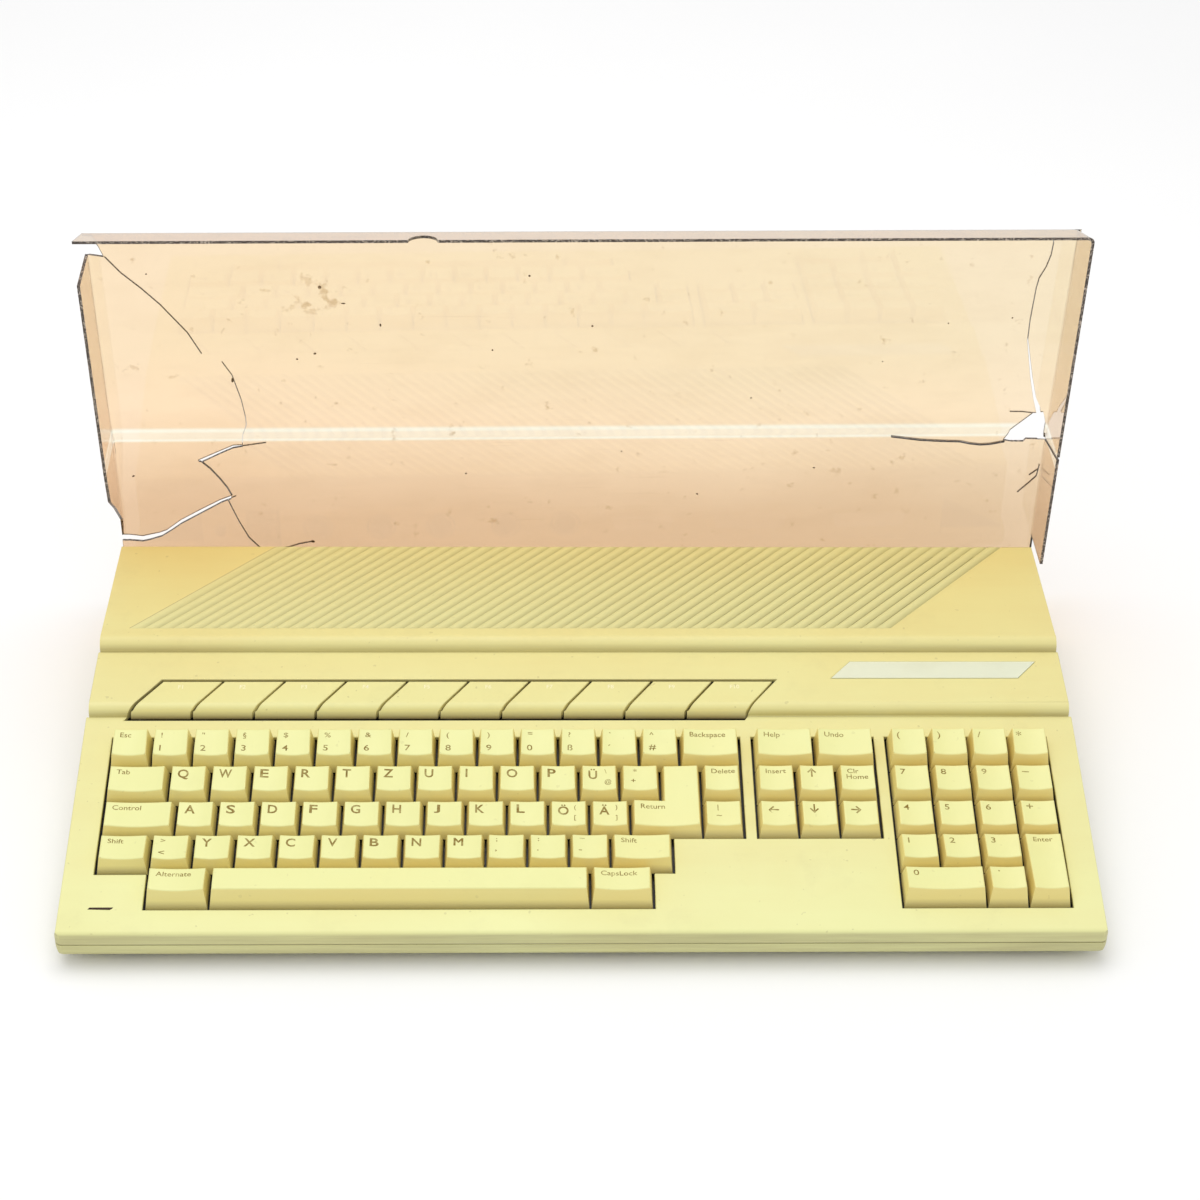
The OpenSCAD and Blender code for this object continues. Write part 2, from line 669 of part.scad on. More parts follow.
// Round sockets: a block on the board and a keyed face in a ring
module din_sockets() color(black) for (x = din_x) {
    in_case() translate([x - 9, 224, board_z + board_t])
        cube([18, case_d - wall - 224, port_z + 8.5 - board_z - board_t]);
    through_rear(case_d - wall, case_d) translate([x, port_z]) difference() {
        circle(r = din_r, $fn = fine);
        difference() {
            circle(r = din_r - 1, $fn = fine);
            circle(r = din_r - 2, $fn = fine);
        }
    }
}

module wide_sockets() color(steel) for (p = wide_x) {
    in_case() translate([p[0] - p[1] / 2 - 6, 225, board_z + board_t])
        cube([p[1] + 12, case_d - wall - 225, port_z + 6 - board_z - board_t]);
    through_rear(case_d - wall, case_d + 0.6) translate([p[0], port_z])
        d_outline(p[1], 8.4);
}

module joystick_sockets() color(steel) in_case() for (y = stick_y) {
    translate([214, y - 14.5, board_z + board_t])
        cube([16 - rear_inset - 0.1, 29, stick_z + 6 - board_z - board_t]);
    translate([214, y, stick_z]) rotate([90, 0, 90]) linear_extrude(case_w / 2 - rear_inset - 214)
        d_outline(17, 8.4);
}

// Edge socket for a cartridge, set back behind the slot in the wall
module cartridge_socket() color(black) in_case() difference() {
    translate([-222, slot_y[0] - 2, board_z + board_t])
        cube([14, slot_y[1] - slot_y[0] + 4, slot_z[1] - board_z - board_t]);
    translate([-223, slot_y[0] + 4, port_z - 1]) cube([10, slot_y[1] - slot_y[0] - 8, 2]);
}

rocker_pivot_y = case_d - 4;
pivot_r = 1.2;

// Bezel and well of the mains switch, with a bore for each pivot pin
module switch_block(y0, y1, side, above) through_rear(y0, y1) translate([rocker_x, port_z])
    square([rocker_w + 2 * side, rocker_h + 2 * above], center = true);

module power_switch_body() color(black) difference() {
    union() {
        switch_block(222, case_d + 0.5, 1.2, 1.2);
        switch_block(case_d, case_d + 1, 2.5, 2.5);
    }
    switch_block(224, case_d + 2, 0.4, 0.7);
    in_case() translate([rocker_x, rocker_pivot_y, port_z]) along_x(rocker_w + 6)
        circle(r = pivot_r + 0.15, $fn = fine);
}

// Rocker on two pivot pins, at rest with its lower half pressed in
module power_rocker() color([0.12, 0.12, 0.13]) in_case()
    translate([rocker_x, rocker_pivot_y, port_z]) rotate([-rocker_lean, 0, 0]) {
        along_x(rocker_w) polygon([[2.8, 0], [4.2, rocker_h / 2 - 0.2], [-3, rocker_h / 2 - 1],
            [-6, 2.5], [-6, -2.5], [-3, 1 - rocker_h / 2], [4.2, 0.2 - rocker_h / 2]]);
        along_x(rocker_w + 2) circle(r = pivot_r, $fn = fine);
    }

module reset_button() color([0.15, 0.15, 0.16]) in_case()
    translate([reset_x, case_d + 2, port_z]) rotate([90, 0, 0])
    cylinder(r = reset_r, h = 12, $fn = fine);

// ---- Dust cover ----

cut_z = 41;                              // the right side wall ends this far above the table
torn_z = 215;                            // and the left one is torn off above this height
rim_fold = fold - [cover_wall, 1];
cover_back = [rim + [0, cover_t], ridge + [cover_t, cover_t * 0.6], fold + [cover_t, 0]];
torn_y = cover_y - (torn_z - cover_rear_len) * tan(cover_lean);
notch = [7, 16];                         // finger notch in the middle of the lip, half its width

module in_cover() in_case() translate([cover_shift, cover_y, 0]) rotate([0, 0, cover_yaw])
    translate([0, -cover_y, 0]) children();

module cover_side(outline, side) translate([side * (cover_w - cover_t) / 2, 0, 0])
    along_x(cover_t) polygon(outline);

// A crack as a gap: the same line twice, the second time moved by the gap's width
module crack(line, move) polygon(concat(line,
    [for (i = [len(line) - 1 : -1 : 0]) line[i] + move]));

// Cracks in the rear and front panels, seen from the front
module cracks() {
    crack([[-231, 213.8], [-224.3, 204.7], [-215.2, 195.4], [-207, 186], [-195.3, 169.5],
        [-189.5, 157]], [0.35, 0.1]);
    crack([[-179.8, 152], [-175.5, 144], [-172, 128.6], [-170.7, 118], [-170.6, 113],
        [-172.9, 106.7], [-173.5, 101]], [0.3, 0]);
    polygon([[-196.6, 91.2], [-185, 96.9], [-178.1, 100.2], [-173.2, 100.4], [-173.2, 99.4],
        [-178.3, 98.4], [-185.2, 95], [-194.2, 90.2], [-196.2, 90.2]]);
    crack([[-173.5, 99.6], [-167, 100.7], [-161.3, 101.6]], [0, 0.3]);
    crack([[-195.7, 90.6], [-191, 85.8], [-186.6, 79.6], [-183.2, 73.9], [-181.2, 69]],
        [0.5, 0.3]);
    polygon([[-181.4, 68.9], [-187.3, 66.4], [-198.1, 60.2], [-208.5, 53.9], [-216.3, 47.6],
        [-220.1, 46], [-229.1, 43.8], [-236, 44.8], [-244, 45], [-244, 41], [-236, 41],
        [-229.4, 40.3], [-225.7, 41.2], [-219.3, 43.4], [-213.7, 47.3], [-208.7, 51.2],
        [-198.3, 57.6], [-186.4, 64.8], [-181.4, 66.9]]);
    crack([[-181.6, 67.4], [-178.9, 68.6]], [0, 0.3]);
    crack([[-183.3, 66.2], [-181, 59.4], [-178.5, 52.3], [-174.1, 42], [-168.8, 35.5],
        [-165, 31]], [0.35, 0.1]);
    crack([[-159.4, 34.7], [-153.6, 35.6], [-147.7, 37.8], [-141.3, 39.1]], [0, 0.35]);
    crack([[226.9, 221.3], [227.2, 219.6], [226.9, 212.7], [225.4, 205.8], [222.8, 199.4],
        [222.1, 193.6], [221.5, 174.6], [221.8, 162]], [0.35, 0]);
    polygon([[221.7, 163], [224.1, 150.4], [226.3, 139.3], [229.2, 127.4], [232.3, 117],
        [234.4, 117.4], [233.7, 121], [230.9, 126.8], [227.5, 139.3], [225, 150.4],
        [222.2, 163]]);
    polygon([[235.7, 118], [230.5, 117.3], [226.8, 113.5], [220, 106.6], [219.2, 104],
        [217.1, 100.3], [220.8, 99.4], [227.6, 99.3], [228.9, 100.9], [238, 100.6], [238, 111]]);
    crack([[218.5, 118.1], [224.7, 118], [231.5, 117]], [0, 0.3]);
    crack([[158.9, 102.4], [163.6, 101.7], [174.1, 100.1], [184.5, 99.4], [194.9, 99],
        [200.2, 97.7], [205.5, 97], [210.6, 97.3], [218, 98.9]], [0, 1]);
    crack([[238, 85.2], [236.9, 77.7], [233.2, 73.3], [228.1, 67.6]], [0.4, -0.1]);
    crack([[237.5, 82.4], [233.1, 78.4]], [0.2, -0.3]);
    polygon([[-233.2, 219.8], [-231.2, 213.8], [-238.4, 215], [-246, 215], [-246, 224.5],
        [-236, 224.5]]);
}

// Clear sheet, folded to the case's slope, with the cracks and gaps of a fall
module dust_cover() color(smoke) in_cover() difference() {
    union() {
        along_x(cover_w) polygon(concat([[cover_y, 0], fold, ridge, rim],
            cover_back, [[cover_y + cover_t, 0]]));
        cover_side(concat([[cover_y + cover_t, cut_z], [cover_y - cover_wall + 2, cut_z],
            rim_fold, rim], cover_back), 1);
        cover_side([[cover_y + cover_t, 53], [cover_y, 55], [cover_y - 14, 71.6],
            [cover_y - 26.5, 84.2], rim_fold, [torn_y - cover_wall, torn_z],
            [torn_y + cover_t, torn_z], fold + [cover_t, 0]], -1);
    }
    translate([0, case_d + 60, 0]) rotate([90, 0, 0]) linear_extrude(55) cracks();
    translate([cover_w / 2, 0, 0]) along_x(10) crack([[cover_y + 4, 99.6], [cover_y - 40, 110.4]],
        [0, 1.5]);
    layer(cut_z + 180, 300) translate([-77, rim.x - 1]) polygon([for (a = [0 : 15 : 180])
        [notch.x * cos(a), notch.y * sin(a)]]);
}

// ---- Assembly ----

bottom_case();
top_case();
rubber_feet();
case_screws();
badge_plate();
power_lamp();
keyboard_frame();
rubber_domes();
keyboard_board();
keyboard_backplate();
main_board();
board_chips();
shield_cover();
keyboard_cable();
din_sockets();
wide_sockets();
joystick_sockets();
cartridge_socket();
power_switch_body();
power_rocker();
reset_button();
dust_cover();
space_bar();
return_key();
for (k = single_keys) single_key(k);
for (r = key_rows) key_row(r);
for (i = [1 : in_row]) function_key(i - 1);
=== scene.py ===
import math
import random

import bmesh
import bpy
from mathutils import Matrix, Vector
from mathutils.bvhtree import BVHTree


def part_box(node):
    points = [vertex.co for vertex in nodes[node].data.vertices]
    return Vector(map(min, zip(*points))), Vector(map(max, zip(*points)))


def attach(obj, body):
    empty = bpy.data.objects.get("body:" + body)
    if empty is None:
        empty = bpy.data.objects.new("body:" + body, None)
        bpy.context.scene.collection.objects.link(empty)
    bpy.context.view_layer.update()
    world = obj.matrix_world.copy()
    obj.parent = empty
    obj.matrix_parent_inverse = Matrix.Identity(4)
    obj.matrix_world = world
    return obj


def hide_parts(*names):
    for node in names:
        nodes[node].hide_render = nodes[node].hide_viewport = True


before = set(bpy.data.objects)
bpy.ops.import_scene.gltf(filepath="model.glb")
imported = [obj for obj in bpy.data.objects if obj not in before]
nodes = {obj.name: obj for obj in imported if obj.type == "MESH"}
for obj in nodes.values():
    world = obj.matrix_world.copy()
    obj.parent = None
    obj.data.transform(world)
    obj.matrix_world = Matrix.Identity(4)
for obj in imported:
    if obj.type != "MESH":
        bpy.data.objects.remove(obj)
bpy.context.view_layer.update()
mm = 0.001
print("frame loaded,", len(nodes), "nodes")

# The keyboard deck is a sloping plane that starts at the front edge of the case
deck = {
    "tilt": math.radians(12.6),
    "frontHeight": 20 * mm,
    "frontInset": 0.8 * mm,
}
caseLow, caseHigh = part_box("bottom_case")
caseFront = caseLow.y
caseBack = caseHigh.y
caseMiddle = (caseLow.x + caseHigh.x) / 2
deckBack = Vector((0, math.cos(deck["tilt"]), math.sin(deck["tilt"])))
deckUp = Vector((0, -math.sin(deck["tilt"]), math.cos(deck["tilt"])))
deckEdge = Vector((caseMiddle, caseFront + deck["frontInset"], deck["frontHeight"]))


def onDeck(x, upSlope, height=0):
    return deckEdge + Vector((x, 0, 0)) + deckBack * upSlope + deckUp * height


def deckHeight(point):
    return (point - deckEdge).dot(deckUp)


# Camera, lights and floor

camera = {
    "place": (-0.02186, -0.94764, 0.8207),
    "pitch": math.radians(37.211),
    "yaw": math.radians(1.706),
    "roll": math.radians(1.046),
    "lens": 75.92,
    "sensor": 36,
    "nearest": 10 * mm,
}


def makeCamera(settings):
    pitch, yaw, roll = settings["pitch"], settings["yaw"], settings["roll"]
    forward = Vector((math.sin(yaw) * math.cos(pitch), math.cos(yaw) * math.cos(pitch),
                      -math.sin(pitch)))
    level = Vector((math.cos(yaw), -math.sin(yaw), 0))
    upright = level.cross(forward)
    right = level * math.cos(roll) + upright * math.sin(roll)
    up = upright * math.cos(roll) - level * math.sin(roll)
    data = bpy.data.cameras.new("productCamera")
    data.lens = settings["lens"]
    data.sensor_width = settings["sensor"]
    data.clip_start = settings["nearest"]
    holder = bpy.data.objects.new("productCamera", data)
    bpy.context.collection.objects.link(holder)
    turn = Matrix((right, up, -forward)).transposed().to_4x4()
    holder.matrix_world = Matrix.Translation(settings["place"]) @ turn
    bpy.context.scene.camera = holder


studio = {
    "skyColour": (1.0, 1.0, 1.0, 1),
    "skyStrength": 0.7,
    "floorSize": 14,
    "floorColour": (0.93, 0.93, 0.93, 1),
    "floorDarker": (0.91605, 0.91605, 0.91605, 1),
    "floorShade": ((3,), (0.3, 0.7)),
    # name, place, aim, width and depth of the softbox, power in watts
    "softboxes": [
        ("overheadBox", (-0.2, 0.3, 1.9), (0, 0, 0), 1.7, 1.2, 17.5),
        ("frontBox", (0.2, -1.2, 1.95), (0, 0, 0), 1.6, 0.9, 4),
    ],
}


def makeStudio(settings):
    scene = bpy.context.scene
    scene.view_settings.view_transform = "Standard"
    world = bpy.data.worlds.new("whiteRoom")
    world.use_nodes = True
    sky = world.node_tree.nodes["Background"]
    sky.inputs["Color"].default_value = settings["skyColour"]
    sky.inputs["Strength"].default_value = settings["skyStrength"]
    scene.world = world
    for name, place, aim, width, depth, power in settings["softboxes"]:
        data = bpy.data.lights.new(name, "AREA")
        data.shape = "RECTANGLE"
        data.size = width
        data.size_y = depth
        data.energy = power
        lamp = bpy.data.objects.new(name, data)
        lamp.location = place
        lamp.rotation_euler = (Vector(aim) - Vector(place)).to_track_quat("-Z", "Y").to_euler()
        bpy.context.collection.objects.link(lamp)
    bm = bmesh.new()
    bmesh.ops.create_grid(bm, x_segments=2, y_segments=2, size=settings["floorSize"] / 2)
    floor = meshObject("paleFloor", bm)
    floor.data.materials.append(floorPaint(settings))


# Small helpers for meshes and nodes

def meshObject(name, bm):
    data = bpy.data.meshes.new(name)
    bm.to_mesh(data)
    bm.free()
    piece = bpy.data.objects.new(name, data)
    bpy.context.collection.objects.link(piece)
    return piece


def setInputs(tree, node, inputs):
    for name, value in inputs.items():
        if isinstance(value, bpy.types.NodeSocket):
            tree.links.new(value, node.inputs[name])
        else:
            node.inputs[name].default_value = value


def addNode(tree, kind, inputs, **settings):
    node = tree.nodes.new(kind)
    for name, value in settings.items():
        setattr(node, name, value)
    setInputs(tree, node, inputs)
    return node


def newGroup(name, inputs, outputs):
    tree = bpy.data.node_groups.new(name, "ShaderNodeTree")
    kinds = {"colour": "NodeSocketColor", "value": "NodeSocketFloat"}
    for label, kind, start in inputs:
        socket = tree.interface.new_socket(name=label, in_out="INPUT", socket_type=kinds[kind])
        socket.default_value = start
    for label, kind in outputs:
        tree.interface.new_socket(name=label, in_out="OUTPUT", socket_type=kinds[kind])
    return tree, tree.nodes.new("NodeGroupInput"), tree.nodes.new("NodeGroupOutput")


def mixColours(tree, share, first, second, blend="MIX"):
    # a colour mix has its share in socket 0 and its colours in sockets 6 and 7
    return addNode(tree, "ShaderNodeMix", {0: share, 6: first, 7: second}, data_type="RGBA",
                   blend_type=blend).outputs[2]


def between(tree, value, low, high, toLow=0.0, toHigh=1.0):
    return addNode(tree, "ShaderNodeMapRange", {
        "Value": value, "From Min": low, "From Max": high,
        "To Min": toLow, "To Max": toHigh}).outputs[0]


def calculate(tree, operation, first, second=0.0, clamp=False):
    return addNode(tree, "ShaderNodeMath", {0: first, 1: second}, operation=operation,
                   use_clamp=clamp).outputs[0]


def noise(tree, place, scale, detail=3.0, roughness=0.5, stretch=None, turn=(0, 0, 0)):
    if stretch:
        place = addNode(tree, "ShaderNodeMapping", {
            "Vector": place, "Scale": stretch, "Rotation": turn}).outputs[0]
    return addNode(tree, "ShaderNodeTexNoise", {
        "Vector": place, "Scale": scale, "Detail": detail,
        "Roughness": roughness}).outputs[0]


def pattern(tree, place, settings):
    grain, band = settings
    return between(tree, noise(tree, place, *grain), *band)


def objectPlace(tree):
    return tree.nodes.new("ShaderNodeTexCoord").outputs["Object"]


def splitPlace(tree, place):
    return addNode(tree, "ShaderNodeSeparateXYZ", {0: place}).outputs


def vectorMath(tree, operation, first, second=(0, 0, 0)):
    return addNode(tree, "ShaderNodeVectorMath", {0: first, 1: second},
                   operation=operation).outputs


def along(tree, place, direction):
    return vectorMath(tree, "DOT_PRODUCT", place, direction)["Value"]


# Effects that several materials share. A noise is its scale, detail, roughness and stretch;
# a band is the part of it that counts, then what the ends of that part become

ageing = {
    "blotches": ((7, 4, 0.6), (0.3, 0.7, -0.16, 0.16)),
    "streaks": ((1, 4, 0.6, (5, 60, 60)), (0.3, 0.7, -0.07, 0.07)),
    "smudges": ((42, 6, 0.65), (0.56, 0.8, 0, 0.3)),
    "specks": ((330, 1, 0.5), (0.745, 0.775, 0, 0.75)),
    "handling": ((18, 5, 0.7), (0.35, 0.75, -0.06, 0.1)),
    "grain": (1900, 2, 0.6),
    "grainShare": 0.5,
    "waves": (55, 2, 0.5),
}


def agedPlasticGroup(settings):
    tree, ins, outs = newGroup("agedPlastic", [
        ("Plastic", "colour", (0.8, 0.75, 0.4, 1)),
        ("Tan And Bounce Colour", "colour", (0.75, 0.6, 0.3, 1)),
        ("Dirt And Shade Colour", "colour", (0.2, 0.15, 0.08, 1)),
        ("Tan And Bounce", "value", 0.3),
        ("Dirt Amount", "value", 0.5),
        ("Shade And Grime", "value", 0.0),
        ("Roughness", "value", 0.45),
    ], [("Color", "colour"), ("Roughness", "value"), ("Height", "value")])
    place = objectPlace(tree)
    tan = calculate(tree, "ADD", ins.outputs["Tan And Bounce"], pattern(tree, place, settings["blotches"]))
    tan = calculate(tree, "ADD", tan, pattern(tree, place, settings["streaks"]), clamp=True)
    body = mixColours(tree, tan, ins.outputs["Plastic"], ins.outputs["Tan And Bounce Colour"])
    dirt = calculate(tree, "MAXIMUM", pattern(tree, place, settings["smudges"]),
                     pattern(tree, place, settings["specks"]))
    dirt = calculate(tree, "MULTIPLY", dirt, ins.outputs["Dirt Amount"])
    # painted shade and the seam line from Shade And Grime also darken towards the dirt colour
    dirt = calculate(tree, "MAXIMUM", dirt, ins.outputs["Shade And Grime"], clamp=True)
    handled = pattern(tree, place, settings["handling"])
    grain = calculate(tree, "MULTIPLY", noise(tree, place, *settings["grain"]),
                      settings["grainShare"])
    setInputs(tree, outs, {
        "Color": mixColours(tree, dirt, body, ins.outputs["Dirt And Shade Colour"]),
        "Roughness": calculate(tree, "ADD", ins.outputs["Roughness"], handled, clamp=True),
        "Height": calculate(tree, "ADD", grain, noise(tree, place, *settings["waves"]))})
    return tree


scratching = {
    # stretch and turn of each set of hair lines
    "lines": [((9, 900, 900), (0, 0.5, 0)), ((14, 700, 700), (0, -0.25, 0)),
              ((12, 800, 800), (0, 1.4, 0))],
    "lineNoise": (1, 1, 0.5),
    "lineBand": (0.74, 0.78),
    "patches": ((11, 2), (0.48, 0.6)),
}


def hairScratchesGroup(settings):
    tree, ins, outs = newGroup("hairScratches", [("Density", "value", 0.5)],
                               [("Mask", "value")])
    place = objectPlace(tree)
    mask = 0.0
    for stretch, turn in settings["lines"]:
        lines = noise(tree, place, *settings["lineNoise"], stretch, turn)
        mask = calculate(tree, "MAXIMUM", between(tree, lines, *settings["lineBand"]), mask)
    mask = calculate(tree, "MULTIPLY", mask, pattern(tree, place, settings["patches"]))
    setInputs(tree, outs, {
        "Mask": calculate(tree, "MULTIPLY", mask, ins.outputs["Density"], clamp=True)})
    return tree


rolling = {
    "lines": (1, 4, 0.7, (20, 900, 900)),
    "lineBand": (0.3, 0.7, -0.06, 0.08),
    "stains": ((30, 5, 0.6), (0.5, 0.8)),
    "bump": (0.2, 0.05 * mm),   # strength and depth
}


def rolledMetalGroup(settings):
    tree, ins, outs = newGroup("rolledMetal", [
        ("Metal", "colour", (0.6, 0.6, 0.6, 1)),
        ("Tarnish", "colour", (0.35, 0.32, 0.28, 1)),
        ("Roughness", "value", 0.35),
    ], [("Color", "colour"), ("Roughness", "value"), ("Height", "value")])
    place = objectPlace(tree)
    stains = pattern(tree, place, settings["stains"])
    lines = noise(tree, place, *settings["lines"])
    rough = between(tree, lines, *settings["lineBand"])
    setInputs(tree, outs, {
        "Color": mixColours(tree, stains, ins.outputs["Metal"], ins.outputs["Tarnish"]),
        "Roughness": calculate(tree, "ADD", ins.outputs["Roughness"], rough, clamp=True),
        "Height": lines})
    return tree


# Field of louvres on the rear section, from its front left corner
louvres = {
    "corner": Vector((caseMiddle - 219 * mm, caseFront + 167.6 * mm, 61.84 * mm)),
    "slope": math.radians(-1.61),
    "slant": 0.925,   # sideways run per unit backwards
    "width": 371 * mm,
    "length": 75 * mm,
    "depth": 2 * mm,
    "outline": 0.32 * mm, "outlineCore": 0.128 * mm,
    "soft": 0.4 * mm,
}


def louvreMaskGroup(settings):
    tree, ins, outs = newGroup("louvreMask", [], [("Groove", "value"), ("Field", "value"),
                                                  ("Outline", "value")])
    soft, deep = settings["soft"], settings["depth"]
    run, rise = math.cos(settings["slope"]), math.sin(settings["slope"])
    away = vectorMath(tree, "SUBTRACT", objectPlace(tree), settings["corner"])[0]
    backwards = along(tree, away, (0, run, rise))
    height = along(tree, away, (0, -rise, run))
    across = along(tree, away, (1, -settings["slant"] * run, -settings["slant"] * rise))

    def within(value, start, end):
        return calculate(tree, "MULTIPLY", between(tree, value, start - soft, start, 0, 1),
                         between(tree, value, end, end + soft, 1, 0))

    reach = calculate(tree, "MULTIPLY", within(backwards, 0, settings["length"]),
                      within(height, -deep, 0))
    field = calculate(tree, "MULTIPLY", reach, within(across, soft, settings["width"]))
    # how deep a point lies in a groove, for the painted shade there
    groove = calculate(tree, "MULTIPLY", field, between(tree, height, -deep, -soft / 4, 1, 0))
    # a thin line along the field's left end, for a painted shadow line
    line = between(tree, calculate(tree, "ABSOLUTE", across), settings["outlineCore"],
                   settings["outline"], 1, 0)
    setInputs(tree, outs, {"Groove": groove, "Field": field,
                           "Outline": calculate(tree, "MULTIPLY", line, reach)})
    return tree


agedPlastic = agedPlasticGroup(ageing)
hairScratches = hairScratchesGroup(scratching)
rolledMetal = rolledMetalGroup(rolling)
louvreMask = louvreMaskGroup(louvres)
print("shared effects built")


# Finishes

def startMaterial(name):
    material = bpy.data.materials.new(name)
    material.use_nodes = True
    tree = material.node_tree
    return material, tree, tree.nodes["Principled BSDF"]


def bump(tree, height, strength, distance):
    return addNode(tree, "ShaderNodeBump", {
        "Height": height, "Strength": strength, "Distance": distance}).outputs[0]


def floorPaint(settings):
    material, tree, shader = startMaterial("paleFloor")
    shade = pattern(tree, objectPlace(tree), settings["floorShade"])
    setInputs(tree, shader, {
        "Base Color": mixColours(tree, shade, settings["floorColour"], settings["floorDarker"]),
        "Roughness": 0.7, "Specular IOR Level": 0.2})
    return material


# The more a face turns away from the deck's own slope, the more painted shade it has; key flanks
# also get tan and painted warm bounce light
flanks = {
    "bounceTanBand": (0.55, 0.93),
    "sideShadeBand": (0.3, 0.8),
    "sideShadeStreaks": ((1, 5, 0.65, (9, 90, 260)), (0.3, 0.7, 0.5, 1.5)),
    "outlineShadow": 0.7,
    "bumpDepth": 0.1 * mm,
}


def tanAndBounceOf(tree, look, place, facing):
    tan = between(tree, place[1], caseFront, caseBack, look["tanFront"], look["tanBack"])
    tan = calculate(tree, "ADD", tan, between(tree, place[0], caseLow.x, caseHigh.x,
                                              look.get("tanLeft", 0), look.get("tanRight", 0)))
    # the flanks' share is partly real tan and partly painted warm bounce light
    return calculate(tree, "ADD", tan, between(tree, facing, *flanks["bounceTanBand"],
                                               look.get("sideTanAndBounce", 0), 0))


# Painted shade near the deck on keys and on the steep faces of the case, plus the case's dark
# seam line
def shadeAndGrimeOf(tree, look, place, facing):
    if "deckShadeUpTo" in look:   # keys get painted shade near the deck, with some grime
        level = deckEdge.dot(deckUp)
        return between(tree, along(tree, objectPlace(tree), deckUp), level,
                       level + look["deckShadeUpTo"], look["deckShadeAndGrime"], 0)
    # steep faces get painted shade, broken into streaks
    sides = between(tree, facing, *flanks["sideShadeBand"], look.get("sideShade", 0), 0)
    sides = calculate(tree, "MULTIPLY", sides,
                      pattern(tree, objectPlace(tree), flanks["sideShadeStreaks"]))
    if "seamAt" in look:
        away = calculate(tree, "ABSOLUTE", calculate(tree, "SUBTRACT", place[2], look["seamAt"]))
        seam = between(tree, away, look["seamHalf"], look["seamHalf"] * 2, look["seamDirt"], 0)
        sides = calculate(tree, "MAXIMUM", sides, seam)
    return sides


def greyAndShadeLouvres(tree, look, colour):
    masks = addNode(tree, "ShaderNodeGroup", {}, node_tree=louvreMask).outputs
    # the whole field is painted greyer, its grooves get painted shade and its left end a painted
    # shadow line
    for mask, share, laidColour in (("Field", look["fieldGreying"], look["louvreGrey"]),
                              ("Groove", look["grooveShade"], look["louvreShade"]),
                              ("Outline", flanks["outlineShadow"], look["dirt"])):
        colour = mixColours(tree, calculate(tree, "MULTIPLY", masks[mask], share), colour, laidColour)
    return colour


def plasticFinish(name, look):
    material, tree, shader = startMaterial(name)
    place = splitPlace(tree, objectPlace(tree))
    facing = along(tree, tree.nodes.new("ShaderNodeNewGeometry").outputs["Normal"], deckUp)
    group = addNode(tree, "ShaderNodeGroup", {
        "Plastic": look["plastic"], "Tan And Bounce Colour": look["tanAndBounceColour"], "Dirt And Shade Colour": look["dirt"],
        "Dirt Amount": look["dirtAmount"], "Roughness": look["roughness"],
        "Tan And Bounce": tanAndBounceOf(tree, look, place, facing), "Shade And Grime": shadeAndGrimeOf(tree, look, place, facing),
    }, node_tree=agedPlastic)
    colour = group.outputs["Color"]
    if "louvreGrey" in look:
        colour = greyAndShadeLouvres(tree, look, colour)
    setInputs(tree, shader, {
        "Base Color": colour, "Roughness": group.outputs["Roughness"],
        "Normal": bump(tree, group.outputs["Height"], look["bump"], flanks["bumpDepth"])})
    return material


def metalFinish(name, look):
    material, tree, shader = startMaterial(name)
    group = addNode(tree, "ShaderNodeGroup", {
        "Metal": look["metal"], "Tarnish": look["tarnish"], "Roughness": look["roughness"],
    }, node_tree=rolledMetal)
    setInputs(tree, shader, {
        "Base Color": group.outputs["Color"], "Metallic": look["metallic"],
        "Roughness": group.outputs["Roughness"],
        "Normal": bump(tree, group.outputs["Height"], *rolling["bump"])})
    return material


casePlastic = plasticFinish("casePlastic", {
    "plastic": (0.79, 0.79, 0.37, 1),
    "tanAndBounceColour": (0.72, 0.59, 0.23, 1),
    "dirt": (0.25, 0.2, 0.11, 1),
    "tanFront": 0.0, "tanBack": 0.7, "tanLeft": 0.15, "tanRight": 0.0,
    # sideShade: painted shade on the steep faces, such as the front wall
    "dirtAmount": 0.28, "sideShade": 0.36, "roughness": 0.48, "bump": 0.35,
    "seamAt": 13.1 * mm, "seamHalf": 0.2 * mm, "seamDirt": 0.85,
    # the louvre field is painted greyer
    "louvreGrey": (0.68, 0.68, 0.35, 1), "fieldGreying": 0.55,
    # painted shade in the louvre grooves
    "louvreShade": (0.36, 0.34, 0.15, 1), "grooveShade": 0.62,
})
keyPlastic = plasticFinish("keyPlastic", {
    "plastic": (0.78, 0.78, 0.34, 1),
    # this colour, warmer and redder than the plastic, is partly painted warm bounce light on the
    # key flanks
    "tanAndBounceColour": (0.88, 0.73, 0.27, 1),
    "dirt": (0.2, 0.15, 0.08, 1),
    "tanFront": 0.0, "tanBack": 0.0, "sideTanAndBounce": 0.8,
    # painted shade near the deck, with some grime
    "deckShadeUpTo": 2.5 * mm, "deckShadeAndGrime": 0.3,
    "dirtAmount": 0.13, "roughness": 0.42, "bump": 0.25,
})
functionPlastic = plasticFinish("functionPlastic", {
    "plastic": (0.77, 0.75, 0.34, 1),
    "tanAndBounceColour": (0.74, 0.61, 0.22, 1),
    # this dark dirt colour, laid on strongly near the deck, is painted shadow in the gaps
    # between the keys
    "dirt": (0.12, 0.09, 0.05, 1),
    "tanFront": 0.2, "tanBack": 0.3, "sideTanAndBounce": 0.3,
    "deckShadeUpTo": 3.0 * mm, "deckShadeAndGrime": 0.9,
    "dirtAmount": 0.3, "roughness": 0.45, "bump": 0.3,
})
